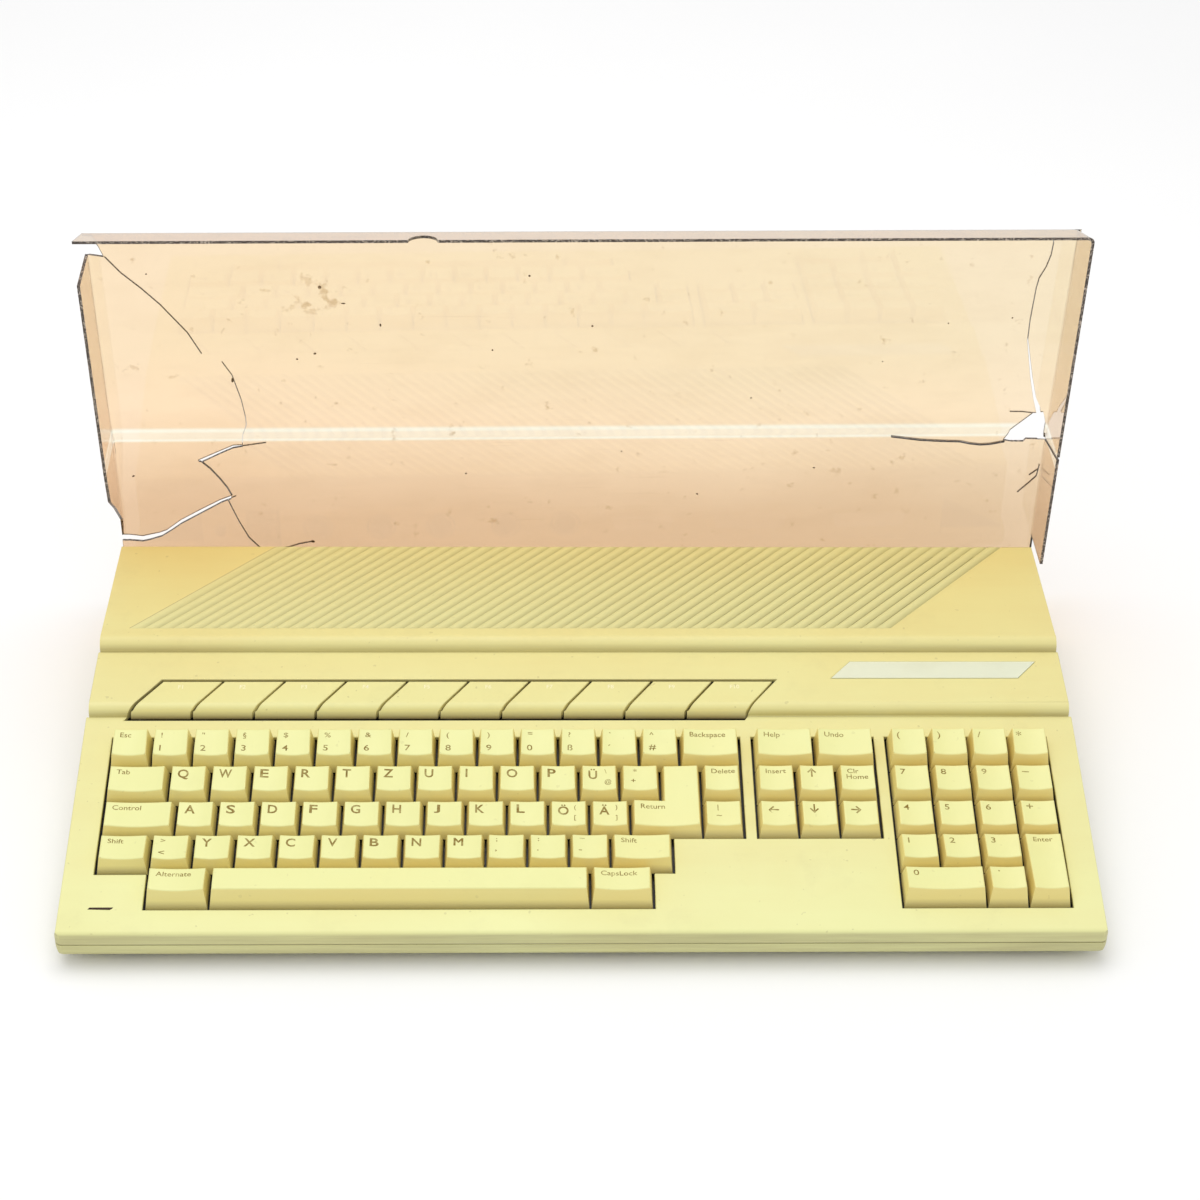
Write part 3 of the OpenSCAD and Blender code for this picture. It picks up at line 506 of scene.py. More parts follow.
blackPlastic = plasticFinish("blackPlastic", {
    "plastic": (0.03, 0.028, 0.025, 1),
    "tanAndBounceColour": (0.10, 0.09, 0.075, 1),
    "dirt": (0.4, 0.36, 0.27, 1),
    "tanFront": 0.2, "tanBack": 0.2,
    "dirtAmount": 0.6, "roughness": 0.4, "bump": 0.3,
})
footRubber = plasticFinish("footRubber", {
    "plastic": (0.05, 0.048, 0.045, 1),
    "tanAndBounceColour": (0.09, 0.085, 0.075, 1),
    "dirt": (0.3, 0.27, 0.22, 1),
    "tanFront": 0.3, "tanBack": 0.3,
    "dirtAmount": 0.5, "roughness": 0.8, "bump": 0.5,
})
domeRubber = plasticFinish("domeRubber", {
    "plastic": (0.38, 0.38, 0.38, 1),
    "tanAndBounceColour": (0.3, 0.28, 0.25, 1),
    "dirt": (0.2, 0.18, 0.15, 1),
    "tanFront": 0.3, "tanBack": 0.3,
    "dirtAmount": 0.4, "roughness": 0.7, "bump": 0.3,
})
boardGreen = plasticFinish("boardGreen", {
    "plastic": (0.03, 0.16, 0.06, 1),
    "tanAndBounceColour": (0.05, 0.1, 0.04, 1),
    "dirt": (0.2, 0.18, 0.14, 1),
    "tanFront": 0.2, "tanBack": 0.3,
    "dirtAmount": 0.4, "roughness": 0.35, "bump": 0.3,
})
greyCable = plasticFinish("greyCable", {
    "plastic": (0.5, 0.5, 0.48, 1),
    "tanAndBounceColour": (0.45, 0.42, 0.34, 1),
    "dirt": (0.2, 0.18, 0.14, 1),
    "tanFront": 0.3, "tanBack": 0.3,
    "dirtAmount": 0.4, "roughness": 0.5, "bump": 0.2,
})
tinnedSteel = metalFinish("tinnedSteel", {
    "metal": (0.66, 0.66, 0.64, 1), "tarnish": (0.42, 0.40, 0.36, 1), "roughness": 0.36,
    "metallic": 1})
badgeFoil = metalFinish("badgeFoil", {
    "metal": (0.71, 0.75, 0.60, 1), "tarnish": (0.66, 0.69, 0.53, 1), "roughness": 0.5,
    "metallic": 0.3})


powerLamp = {
    "lens": (0.05, 0.02, 0.012, 1),
    "lensShade": (0.025, 0.015, 0.01, 1),
    "specular": 0.2,
    "shade": (200, 3),
    "roughBand": (0.3, 0.7, 0.5, 0.7),
    "bump": (0.1, 0.05 * mm),
}


def lampPlastic(settings):
    material, tree, shader = startMaterial("lampPlastic")
    shade = noise(tree, objectPlace(tree), *settings["shade"])
    setInputs(tree, shader, {
        "Base Color": mixColours(tree, shade, settings["lens"], settings["lensShade"]),
        "Roughness": between(tree, shade, *settings["roughBand"]),
        "Specular IOR Level": settings["specular"],
        "Normal": bump(tree, shade, *settings["bump"])})
    return material


print("finishes built")


# Moulded pieces: softened copies of the frame's own solids

def sharpEdges(bm, limit):
    found = []
    for edge in bm.edges:
        if edge.is_manifold and edge.is_convex and edge.calc_face_angle(0) > limit:
            found.append(edge)
    return found


copying = {
    "apart": 0.002 * mm,         # vertices nearer than this are one
    "flat": math.radians(0.5),   # faces that turn less than this are one
}


def mergedCopy(name):
    bm = bmesh.new()
    bm.from_mesh(nodes[name].data)
    bmesh.ops.remove_doubles(bm, verts=bm.verts, dist=copying["apart"])
    bmesh.ops.dissolve_limit(bm, angle_limit=copying["flat"], verts=bm.verts,
                             edges=bm.edges, use_dissolve_boundaries=False)
    return bm


def bevelEdges(bm, edges, width, segments=2):
    bmesh.ops.bevel(bm, geom=edges, offset=width, offset_type="OFFSET", segments=segments,
                    profile=0.5, affect="EDGES", clamp_overlap=False, material=-1,
                    loop_slide=True)


def shadeSoftly(piece, angle=35):
    for face in piece.data.polygons:
        face.use_smooth = True
    piece.data.set_sharp_from_angle(angle=math.radians(angle))
    weigh = piece.modifiers.new("evenShading", "WEIGHTED_NORMAL")
    weigh.keep_sharp = True


def standFor(piece, body, name, material):
    piece.data.materials.append(material)
    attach(piece, body)
    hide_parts(name)


caseShell = {
    "edgeWidth": 0.45 * mm,
    "sharpFrom": math.radians(35),
    "shortest": 2.2 * mm,   # edges under this length stay as they are
}
badge = {
    "slope": math.radians(5.83),
    "forward": 1.3 * mm,   # the plate and its recess sit this much nearer the keys
    "close": 0.4 * mm,     # the recess's corners lie this near the plate's
    "edgeWidth": 0.08 * mm,
}
badgeShift = Vector((0, -math.cos(badge["slope"]), -math.sin(badge["slope"]))) * badge["forward"]


def makeCaseShell(settings, node, name):
    bm = mergedCopy(node)
    corners = [vert.co.copy() for vert in nodes["badge_plate"].data.vertices]
    for vert in bm.verts:
        if any((vert.co - corner).length < badge["close"] for corner in corners):
            vert.co += badgeShift
    edges = [edge for edge in sharpEdges(bm, settings["sharpFrom"])
             if edge.calc_length() > settings["shortest"]]
    bevelEdges(bm, edges, settings["edgeWidth"])
    piece = meshObject(name, bm)
    shadeSoftly(piece)
    standFor(piece, "computer", node, casePlastic)


makeCaseShell(caseShell, "top_case", "upperShell")
makeCaseShell(caseShell, "bottom_case", "lowerShell")


def makeBadge(settings):
    bm = mergedCopy("badge_plate")
    bmesh.ops.translate(bm, verts=bm.verts, vec=badgeShift)
    bevelEdges(bm, bm.edges[:], settings["edgeWidth"])
    piece = meshObject("badge", bm)
    standFor(piece, "computer", "badge_plate", badgeFoil)


makeBadge(badge)
print("case shells softened")


# Keycaps stand in rows on the deck; the key blocks are measured in key widths
keycaps = {
    "pitch": 19.05 * mm,
    "margin": 12.65 * mm,      # from the deck's front edge to the first row
    "rows": 5,
    "blockWidth": 23.1667,
    "cursorAt": 15.8333,
    "padAt": 19.1667,
    "edgeWidth": 0.55 * mm,
    "sharpFrom": math.radians(30),
    "skirtLevel": -1.5 * mm,   # edges that reach below this stay sharp
    # how much farther back each row's tops end than the solids' do, from the space bar's row
    "reachBack": [0.5 * mm, 0.6 * mm, 0.6 * mm, 0.9 * mm, 1.2 * mm],
    "reachFrom": 1 * mm,       # height at which that begins
    "reachFull": 5 * mm,       # and at which it is whole
}
# in the rear row the tops of the plungers just break through the caps' dishes
plungers = {
    "rim": 3 * mm,
    # height of a narrow and of a wide cap's dish over the plunger's middle
    "dishes": (7.86 * mm, 7.66 * mm),
    "wideFrom": 1.3,
    "dishRise": 0.1215,    # what the dish gains per unit backwards
    "above": 0.55 * mm,    # how far over the dish a plunger's rim may stand
    "below": 0.02 * mm,    # and how far under it
    "apart": 0.2 * mm,     # vertices of the flattened plunger nearer than this are one
}
cursor, pad = keycaps["cursorAt"], keycaps["padAt"]

# Body, then each of its caps: place in key widths, row from the back, width, rows deep
keyPlaces = {
    "escape_key": [(0, 1, 1, 1)], "backspace_key": [(14, 1, 1.5, 1)],
    "tab_key": [(0, 2, 1.5, 1)], "delete_key": [(14.5, 2, 1, 1)],
    "control_key": [(0, 3, 1.75, 1)], "left_shift_key": [(0, 4, 1.25, 1)],
    "right_shift_key": [(12.25, 4, 1.5, 1)], "alternate_key": [(1.25, 5, 1.5, 1)],
    "caps_lock_key": [(11.75, 5, 1.5, 1)], "help_key": [(cursor, 1, 1.5, 1)],
    "undo_key": [(cursor + 1.5, 1, 1.5, 1)], "insert_key": [(cursor, 2, 1, 1)],
    "up_key": [(cursor + 1, 2, 1, 1)], "home_key": [(cursor + 2, 2, 1, 1)],
    "left_key": [(cursor, 3, 1, 1)], "down_key": [(cursor + 1, 3, 1, 1)],
    "right_key": [(cursor + 2, 3, 1, 1)], "numpad_zero_key": [(pad, 5, 2, 1)],
    "numpad_enter_key": [(pad + 3, 5, 1, 2)],
    "return_key": [(12.75, 3, 1.75, 1)], "space_bar": [(2.75, 5, 9, 1)],
    "number_keys": [(1 + i, 1, 1, 1) for i in range(13)],
    "upper_letter_keys": [(1.5 + i, 2, 1, 1) for i in range(12)],
    "home_letter_keys": [(1.75 + i, 3, 1, 1) for i in range(11)] + [(14.5, 3, 1, 1)],
    "lower_letter_keys": [(1.25 + i, 4, 1, 1) for i in range(11)],
    "numpad_sign_keys": [(pad + i, 1, 1, 1) for i in range(4)],
    "numpad_digit_keys": [(pad + i, row, 1, 1) for row in (2, 3) for i in range(4)]
    + [(pad + i, 4, 1, 1) for i in range(3)] + [(pad + 2, 5, 1, 1)],
}
capTrees = {}


def reachBack(bm, settings):
    for vert in bm.verts:
        upSlope, height = (vert.co - deckEdge).dot(deckBack), deckHeight(vert.co)
        row = math.ceil((upSlope - settings["margin"]) / settings["pitch"])
        left = settings["margin"] + row * settings["pitch"] - upSlope
        if left < settings["reachFull"] and height > settings["reachFrom"] and row > 0:
            share = min(1, (height - settings["reachFrom"])
                        / (settings["reachFull"] - settings["reachFrom"]))
            vert.co += deckBack * settings["reachBack"][min(row, settings["rows"]) - 1] * share


def sinkPlungers(bm, settings, places):
    sunk = []
    for column, row, width, deep in places:
        if row != 1:
            continue
        dish = settings["dishes"][width > settings["wideFrom"]]
        middle = onDeck((column + (width - keycaps["blockWidth"]) / 2) * keycaps["pitch"],
                        keycaps["margin"]
                        + (keycaps["rows"] - row + deep / 2) * keycaps["pitch"])
        for vert in bm.verts:
            away = vert.co - middle
            backwards = away.dot(deckBack)
            over = away.dot(deckUp) - dish - backwards * settings["dishRise"]
            if abs(math.hypot(away.x, backwards) - settings["rim"]) < settings["apart"] / 4 \
                    and -settings["below"] < over < settings["above"]:
                vert.co -= deckUp * over
                sunk.append(vert)
    bmesh.ops.remove_doubles(bm, verts=sunk, dist=settings["apart"])
    return {vert for vert in sunk if vert.is_valid}


def makeKeycaps(settings):
    for body, places in keyPlaces.items():
        bm = mergedCopy(body)
        sunk = sinkPlungers(bm, plungers, places)
        reachBack(bm, settings)
        edges = [edge for edge in sharpEdges(bm, settings["sharpFrom"])
                 if min(deckHeight(end.co) for end in edge.verts) > settings["skirtLevel"]
                 and not any(end in sunk for end in edge.verts)]
        bevelEdges(bm, edges, settings["edgeWidth"], 3)
        capTrees[body] = BVHTree.FromBMesh(bm)
        piece = meshObject("cap_" + body, bm)
        shadeSoftly(piece)
        standFor(piece, body, body, keyPlastic)


makeKeycaps(keycaps)
print("keycaps softened:", sum(len(places) for places in keyPlaces.values()))


functionKeys = {
    "count": 10,
    "edgeWidth": 0.45 * mm,
    "sharpFrom": math.radians(30),
    "sharpBelow": 0.5 * mm,   # edges that reach below this stay sharp
    # the foot of each nose runs a little farther forward and down than in the solids
    "footFrom": 121.6 * mm,
    "footUpTo": 4 * mm,
    "footForward": 1.7 * mm,
    "footDown": 0.9 * mm,
    "slant": 0.75,           # sideways run of its flanks per unit backwards
    "narrowing": 0.3 * mm,   # and its left flank stands this much farther right
}


def makeFunctionKeys(settings):
    for number in range(1, settings["count"] + 1):
        body = f"function_key_{number}"
        bm = mergedCopy(body)
        flat = [vert.co.x - settings["slant"] * vert.co.y for vert in bm.verts]
        middle = (min(flat) + max(flat)) / 2
        for vert, across in zip(bm.verts, flat):
            height = deckHeight(vert.co)
            if across < middle and height > 0:
                vert.co.x += settings["narrowing"]
            if (vert.co - deckEdge).dot(deckBack) < settings["footFrom"] and height > 0:
                share = max(0, 1 - height / settings["footUpTo"])
                vert.co -= deckBack * settings["footForward"] * share
                vert.co -= deckUp * settings["footDown"] * share
        edges = [edge for edge in sharpEdges(bm, settings["sharpFrom"])
                 if min(deckHeight(end.co) for end in edge.verts) > settings["sharpBelow"]]
        bevelEdges(bm, edges, settings["edgeWidth"])
        capTrees[body] = BVHTree.FromBMesh(bm)
        piece = meshObject("cap_" + body, bm)
        shadeSoftly(piece)
        standFor(piece, body, body, functionPlastic)


makeFunctionKeys(functionKeys)
print("function keys softened")


# Legends: printed on the caps, each as a thin skin that follows its cap's dish

keyLegends = {
    "under": (0.82, 0.80, 0.36, 1),
    "ink": (0.235, 0.15, 0.02, 1),
    "paleInk": (0.93, 0.88, 0.62, 1),
    "fading": 0.45, "paleFading": 0.5,
    "specular": 0.2,
    "wear": (260, 5, 0.7),
    "wearBand": (0.42, 0.72),
    "roughBand": (0, 1, 0.45, 0.6),
    "grain": (1500, 2),
    "bump": (0.1, 0.03 * mm),
    "curveSteps": 3,
    "dropFrom": 6 * mm,      # the flat type starts above its cap and drops onto it
    "dropRange": 30 * mm,
    "functionAt": (21.5 * mm, 3.0 * mm),   # from the left and the back of a function key
    "lift": 0.025 * mm,
    "backInset": 2.6 * mm,   # from the cell's rear edge to the back of the cap's top
    "sideInset": 1.85 * mm,
    # height of the type and its width against that
    "sizes": {"letter": (6.5 * mm, 1.0), "digit": (4.3 * mm, 1.3), "sign": (3.6 * mm, 1.25),
              "small": (3.3 * mm, 1.0), "word": (3.6 * mm, 1.15), "arrow": (6.2 * mm, 1.0),
              "padSign": (5.8 * mm, 1.1), "function": (3.4 * mm, 0.95)},
    "boldness": {"letter": 0.02, "arrow": 0.018},
    "thin": 0.007,
    # letters whose own shape differs from the type's: breadth and height against it
    "shapes": {"E": (1.4, 1), "F": (1.4, 1), "S": (1.45, 1), "P": (1.25, 1), "B": (1.25, 1),
               "L": (1.3, 1), "R": (1.1, 1), "W": (0.83, 1), "J": (1.6, 0.76)},
    # this letter can't be swollen evenly, so it is printed three times, a little apart
    "doubled": "M",
    "apart": 0.024,
    "turned": {"↑": "↓"},   # made by turning the other sign round
}

# What each cap shows: kind, text, then its inset from the left and the back of the cap's top
letterAt = (2.7 * mm, 1.6 * mm)
upperSignAt = (3.0 * mm, 1.8 * mm)
lowerSignAt = (2.6 * mm, 8.5 * mm)
wordAt = (2.9 * mm, 1.7 * mm)


def wordOn(text):
    return [("word", text, *wordAt)]


def letterOn(text):
    return [("letter", text, *letterAt)]


def pairOn(pair):
    return [("sign", pair[0], *upperSignAt), ("digit", pair[1], *lowerSignAt)]


def bracketsOn(pair):
    return [("small", pair[0], 10.2 * mm, 1.9 * mm), ("small", pair[1], 10.2 * mm, 7.6 * mm)]


keyTexts = {
    "escape_key": [wordOn("Esc")], "backspace_key": [wordOn("Backspace")],
    "tab_key": [wordOn("Tab")], "delete_key": [wordOn("Delete")],
    "control_key": [wordOn("Control")], "left_shift_key": [wordOn("Shift")],
    "right_shift_key": [wordOn("Shift")], "alternate_key": [wordOn("Alternate")],
    "caps_lock_key": [wordOn("CapsLock")], "help_key": [wordOn("Help")],
    "undo_key": [wordOn("Undo")], "insert_key": [wordOn("Insert")],
    "home_key": [wordOn("Clr") + [("word", "Home", 2.4 * mm, 5.0 * mm)]],
    "up_key": [[("arrow", "↑", 3.2 * mm, 1.4 * mm)]],
    "left_key": [[("arrow", "←", 3.2 * mm, 2.6 * mm)]],
    "down_key": [[("arrow", "↓", 3.2 * mm, 1.6 * mm)]],
    "right_key": [[("arrow", "→", 3.2 * mm, 2.6 * mm)]],
    "return_key": [wordOn("Return")],
    "numpad_enter_key": [wordOn("Enter")],
    "numpad_zero_key": [[("digit", "0", 3.0 * mm, 1.7 * mm)]],
    "number_keys": [pairOn(pair) for pair in (
        "!1", "\"2", "§3", "$4", "%5", "&6", "/7", "(8", ")9", "=0", "?ß", "`´",
        "^#")],
    "upper_letter_keys": [letterOn(letter) for letter in "QWERTZUIOP"]
    + [letterOn("Ü") + bracketsOn("\\@")]
    + [[("sign", "*", 4.4 * mm, 1.7 * mm), ("sign", "+", 3.4 * mm, 7.4 * mm)]],
    "home_letter_keys": [letterOn(letter) for letter in "ASDFGHJKL"]
    + [letterOn("Ö") + bracketsOn("(["), letterOn("Ä") + bracketsOn(")]")]
    + [[("sign", "|", 5.0 * mm, 1.8 * mm), ("sign", "~", 4.4 * mm, 7.6 * mm)]],
    "lower_letter_keys": [pairOn("><")] + [letterOn(letter) for letter in "YXCVBNM"]
    + [pairOn(";,"), pairOn(":."), pairOn("_-")],
    "numpad_sign_keys": [[("digit", sign, 2.2 * mm, 1.7 * mm)] for sign in "()/"]
    + [[("padSign", "*", 1.4 * mm, 1.4 * mm)]],
    "numpad_digit_keys": [[("digit", sign, 2.3 * mm, 1.9 * mm)] for sign in "789"]
    + [[("padSign", "–", 2.2 * mm, 3.4 * mm)]]
    + [[("digit", sign, 2.3 * mm, 1.9 * mm)] for sign in "456"]
    + [[("padSign", "+", 2.2 * mm, 1.6 * mm)]]
    + [[("digit", sign, 2.5 * mm, 1.9 * mm)] for sign in "123"]
    + [[("padSign", ".", 3.4 * mm, 1.9 * mm)]],
}


def legendPrint(settings, name, ink, fading):
    material, tree, shader = startMaterial(name)
    place = objectPlace(tree)
    worn = between(tree, noise(tree, place, *settings["wear"]), *settings["wearBand"], 0, fading)
    setInputs(tree, shader, {
        "Base Color": mixColours(tree, worn, ink, settings["under"]),
        "Roughness": between(tree, worn, *settings["roughBand"]),
        "Specular IOR Level": settings["specular"],
        "Normal": bump(tree, noise(tree, place, *settings["grain"]), *settings["bump"])})
    return material


def letterMesh(kind, text):
    size, breadth = keyLegends["sizes"][kind]
    wider, taller = keyLegends["shapes"].get(text, (1, 1)) if kind == "letter" else (1, 1)
    doubled = kind == "letter" and text in keyLegends["doubled"]
    turned = keyLegends["turned"].get(text)
    curve = bpy.data.curves.new("legendShape", "FONT")
    curve.body = turned or text
    curve.size = size
    curve.offset = 0 if doubled else size * keyLegends["boldness"].get(kind, keyLegends["thin"])
    curve.resolution_u = keyLegends["curveSteps"]
    curve.fill_mode = "BOTH"
    holder = bpy.data.objects.new("legendShape", curve)
    bpy.context.collection.objects.link(holder)
    bpy.context.view_layer.update()
    shape = bpy.data.meshes.new_from_object(
        holder.evaluated_get(bpy.context.evaluated_depsgraph_get()))
    bpy.data.objects.remove(holder)
    bpy.data.curves.remove(curve)
    shape.transform(Matrix.Diagonal((breadth * wider, taller, 1, 1)))
    if turned:
        shape.transform(Matrix.Rotation(math.pi, 4, "Z"))
    if doubled:
        bm = bmesh.new()
        for step in (-1, 0, 1):
            start = len(bm.verts)
            bm.from_mesh(shape)
            bm.verts.ensure_lookup_table()
            for vert in bm.verts[start:]:
                vert.co += Vector((step * size * keyLegends["apart"], 0,
                                   step * keyLegends["lift"] / 4))
        bm.to_mesh(shape)
        bm.free()
    return shape


def printText(bm, tree, shape, corner, right, back, down, lift):
    start = len(bm.verts)
    bm.from_mesh(shape)
    bm.verts.ensure_lookup_table()
    fresh = bm.verts[start:]
    left = min(vert.co.x for vert in fresh)
    top = max(vert.co.y for vert in fresh)
    for vert in fresh:
        point = corner + right * (vert.co.x - left) + back * (vert.co.y - top)
        hit = tree.ray_cast(point - down * keyLegends["dropRange"], down)[0]
        vert.co = (hit if hit else point) - down * (lift + vert.co.z)


def finishLegends(bm, name, body, material):
    piece = meshObject(name, bm)
    piece.data.materials.append(material)
    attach(piece, body)


def makeLegends(settings):
    ink = legendPrint(settings, "legendInk", settings["ink"], settings["fading"])
    step = keycaps["pitch"]
    blockLeft = -keycaps["blockWidth"] * step / 2
    for body, texts in keyTexts.items():
        bm = bmesh.new()
        for (column, row, width, deep), marks in zip(keyPlaces[body], texts):
            behind = keycaps["rows"] - row + deep
            back = keycaps["margin"] + behind * step - settings["backInset"] \
                + keycaps["reachBack"][behind - 1]
            left = blockLeft + column * step + settings["sideInset"]
            for kind, text, across, down in marks:
                shape = letterMesh(kind, text)
                corner = onDeck(left + across, back - down, settings["dropFrom"])
                printText(bm, capTrees[body], shape, corner, Vector((1, 0, 0)), deckBack,
                          -deckUp, settings["lift"])
                bpy.data.meshes.remove(shape)
        finishLegends(bm, "legend_" + body, body, ink)
    pale = legendPrint(settings, "paleInk", settings["paleInk"], settings["paleFading"])
    fromLeft, fromBack = settings["functionAt"]
    for number in range(1, functionKeys["count"] + 1):
        body = f"function_key_{number}"
        low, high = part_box(body)
        shape = letterMesh("function", f"F{number}")
        bm = bmesh.new()
        corner = Vector((low.x + fromLeft, high.y - fromBack, high.z))
        printText(bm, capTrees[body], shape, corner, Vector((1, 0, 0)), Vector((0, 1, 0)),
                  Vector((0, 0, -1)), settings["lift"])
        bpy.data.meshes.remove(shape)
        finishLegends(bm, "legend_" + body, body, pale)


makeLegends(keyLegends)
print("legends printed")


# Dust cover: a clear smoked sheet, rounded at its bends, with some dirt; its sawn rims and crack
# walls are dark, partly as painted shade

dustCover = {
    "sheet": 1.5 * mm,
    "bend": 3.2 * mm,        # outside radius of its bends
    "bendSteps": 5,
    "bendAtLeast": 20 * mm,
    "bendFrom": math.radians(20),
    "close": 0.001 * mm,
    "rimWidth": 1.05,        # a rim is no wider than this many sheets
    "rimDepth": 1.1,         # and has no other face this many sheets behind it
    "softUpTo": 30,          # degrees between faces that still shade as one
}
sheetLook = {
    # tint of the whole sheet, from its foot to its top; the darker foot is painted shade
    "footShadeTint": (0.81, 0.60, 0.40, 1),
    "lowTint": (1.0, 0.81, 0.585, 1),
    "highTint": (0.95, 0.79, 0.555, 1),
    "tintFrom": 0.06, "tintMiddle": 0.115, "tintTo": 0.15,
    "uneven": ((5, 3), (0.3, 0.7, -0.015, 0.015)),
    # what its left and right ends multiply that by, and the painted shade that darkens its side
    # walls
    "leftTint": (1.0, 0.955, 0.93, 1),
    "rightTint": (0.98, 1.0, 1.0, 1),
    "sideWallShade": (0.78, 0.69, 0.62, 1),
    "sideWallShadeBand": (0.3, 0.8),
    # height, half width and strength of the painted highlight lines along the bend
    "foldHighlightTint": (1.0, 1.0, 0.88, 1),
    "foldHighlights": [(109.2 * mm, 2.2 * mm, 0.9), (103.4 * mm, 1.3 * mm, 0.9),
                  (106.4 * mm, 4.5 * mm, 0.55)],
    "foldHighlightCore": 0.3,
    "stainColour": (0.50, 0.30, 0.12, 1),
    "stainPlace": (-130 * mm, 0.0, 193 * mm),
    "stainSize": 21 * mm,
    "stainCore": 0.4,
    "stainLift": 0.13,
    "drops": (130, 3, 0.6),
    "dropBand": (0.66, 0.74, 0, 0.5),
    "scratchDensity": 0.16,
    "film": ((26, 6, 0.65, (1, 1, 3)), (0.45, 0.8, 0, 0.10)),
    "refraction": 1.49,
    "roughness": ((60, 4), (0.3, 0.7, 0.0, 0.05)),
    "ripples": (9, 2),
    "rippleBump": (0.08, 1 * mm),
}


def sheetTint(tree, look, place):
    x, _, height = splitPlace(tree, place)
    level = calculate(tree, "ADD", height, pattern(tree, place, look["uneven"]))
    # the sheet darkens towards its foot as painted shade
    tint = mixColours(tree, between(tree, level, look["tintFrom"], look["tintMiddle"]),
                      look["footShadeTint"], look["lowTint"])
    tint = mixColours(tree, between(tree, level, look["tintMiddle"], look["tintTo"]),
                      tint, look["highTint"])
    ends = mixColours(tree, between(tree, x, caseLow.x, caseHigh.x),
                      look["leftTint"], look["rightTint"])
    tint = mixColours(tree, 1.0, tint, ends, "MULTIPLY")
    # side walls get painted shade
    normal = tree.nodes.new("ShaderNodeNewGeometry").outputs["Normal"]
    facing = calculate(tree, "ABSOLUTE", splitPlace(tree, normal)[1])
    tint = mixColours(tree, between(tree, facing, *look["sideWallShadeBand"], 1, 0), tint,
                      mixColours(tree, 1.0, tint, look["sideWallShade"], "MULTIPLY"))
    # painted highlight lines along the bend
    foldHighlight = 0.0
    for line, half, strength in look["foldHighlights"]:
        away = calculate(tree, "ABSOLUTE", calculate(tree, "SUBTRACT", height, line))
        foldHighlight = calculate(tree, "MAXIMUM", between(tree, away, half * look["foldHighlightCore"], half,
                                                  strength, 0), foldHighlight)
    return mixColours(tree, foldHighlight, tint, look["foldHighlightTint"])


def sheetMarks(tree, look, place):
    # drops that gather round the stain, hair scratches and a thin film
    away = vectorMath(tree, "SUBTRACT", place, look["stainPlace"])[0]
    away = vectorMath(tree, "MULTIPLY", away, (1, 0, 1))[0]
    away = vectorMath(tree, "LENGTH", away)["Value"]
    near = between(tree, away, look["stainSize"] * look["stainCore"], look["stainSize"],
                   look["stainLift"], 0)
    drops = calculate(tree, "ADD", noise(tree, place, *look["drops"]), near)
    scratches = addNode(tree, "ShaderNodeGroup", {"Density": look["scratchDensity"]},
                        node_tree=hairScratches).outputs[0]
    marks = calculate(tree, "MAXIMUM", between(tree, drops, *look["dropBand"]), scratches)
    return calculate(tree, "MAXIMUM", marks, pattern(tree, place, look["film"]))


def smokedSheet(look):
    material, tree, shader = startMaterial("smokedSheet")
    place = objectPlace(tree)
    tint = mixColours(tree, sheetMarks(tree, look, place), sheetTint(tree, look, place),
                      look["stainColour"])
    setInputs(tree, shader, {
        "Base Color": tint, "Transmission Weight": 1, "IOR": look["refraction"],
        "Roughness": pattern(tree, place, look["roughness"]),
        "Normal": bump(tree, noise(tree, place, *look["ripples"]), *look["rippleBump"])})
    # light that only passes through is tinted, so the sheet's shadow stays pale
    clear = addNode(tree, "ShaderNodeBsdfTransparent", {"Color": look["highTint"]})
    path = tree.nodes.new("ShaderNodeLightPath")
    mix = addNode(tree, "ShaderNodeMixShader", {
        0: path.outputs["Is Shadow Ray"], 1: shader.outputs[0], 2: clear.outputs[0]})
    setInputs(tree, tree.nodes["Material Output"], {"Surface": mix.outputs[0]})
    return material


# Sawn rims, whose darkness is partly painted shade, and dried dirt: a dark finish with pale
# chips
chipping = {
    "chips": ((1100, 3, 0.7), (0.5, 0.62)),
    "roughBand": (0, 1, 0.3, 0.6),
    "bump": (0.4, 0.1 * mm),
    "rim": ((0.05, 0.035, 0.028, 1), (0.55, 0.47, 0.40, 1)),
    "dirt": ((0.10, 0.06, 0.03, 1), (0.28, 0.18, 0.10, 1)),
}


def chippedFinish(name, colours):
    material, tree, shader = startMaterial(name)
    marks = pattern(tree, objectPlace(tree), chipping["chips"])
    setInputs(tree, shader, {
        "Base Color": mixColours(tree, marks, *colours),
        "Roughness": between(tree, marks, *chipping["roughBand"]),
        "Normal": bump(tree, marks, *chipping["bump"])})
    return material


def armsOf(inward):
    # along the sheet, away from the bend, on either side of it
    return [(side - other * side.dot(other)).normalized() for other, side in
            (inward, inward[::-1])]


def bendsOf(bm, tree, settings):
    found = []
    for edge in bm.edges:
        angle = edge.calc_face_angle(0)
        if not edge.is_manifold or not edge.is_convex or angle < settings["bendFrom"] \
                or edge.calc_length() < settings["bendAtLeast"]:
            continue
        start, end = (vert.co.copy() for vert in edge.verts)
        inward = [-face.normal for face in edge.link_faces]
        reach = settings["bend"] * math.tan(angle / 2)
        # a rim that lies flush with the next sheet is too narrow to be one side of a bend
        away = [tree.find_nearest((start + end) / 2 + arm * reach)[3] for arm in armsOf(inward)]
        if max(away) < settings["sheet"] / 10:
            found.append((start, end, inward))
    return found


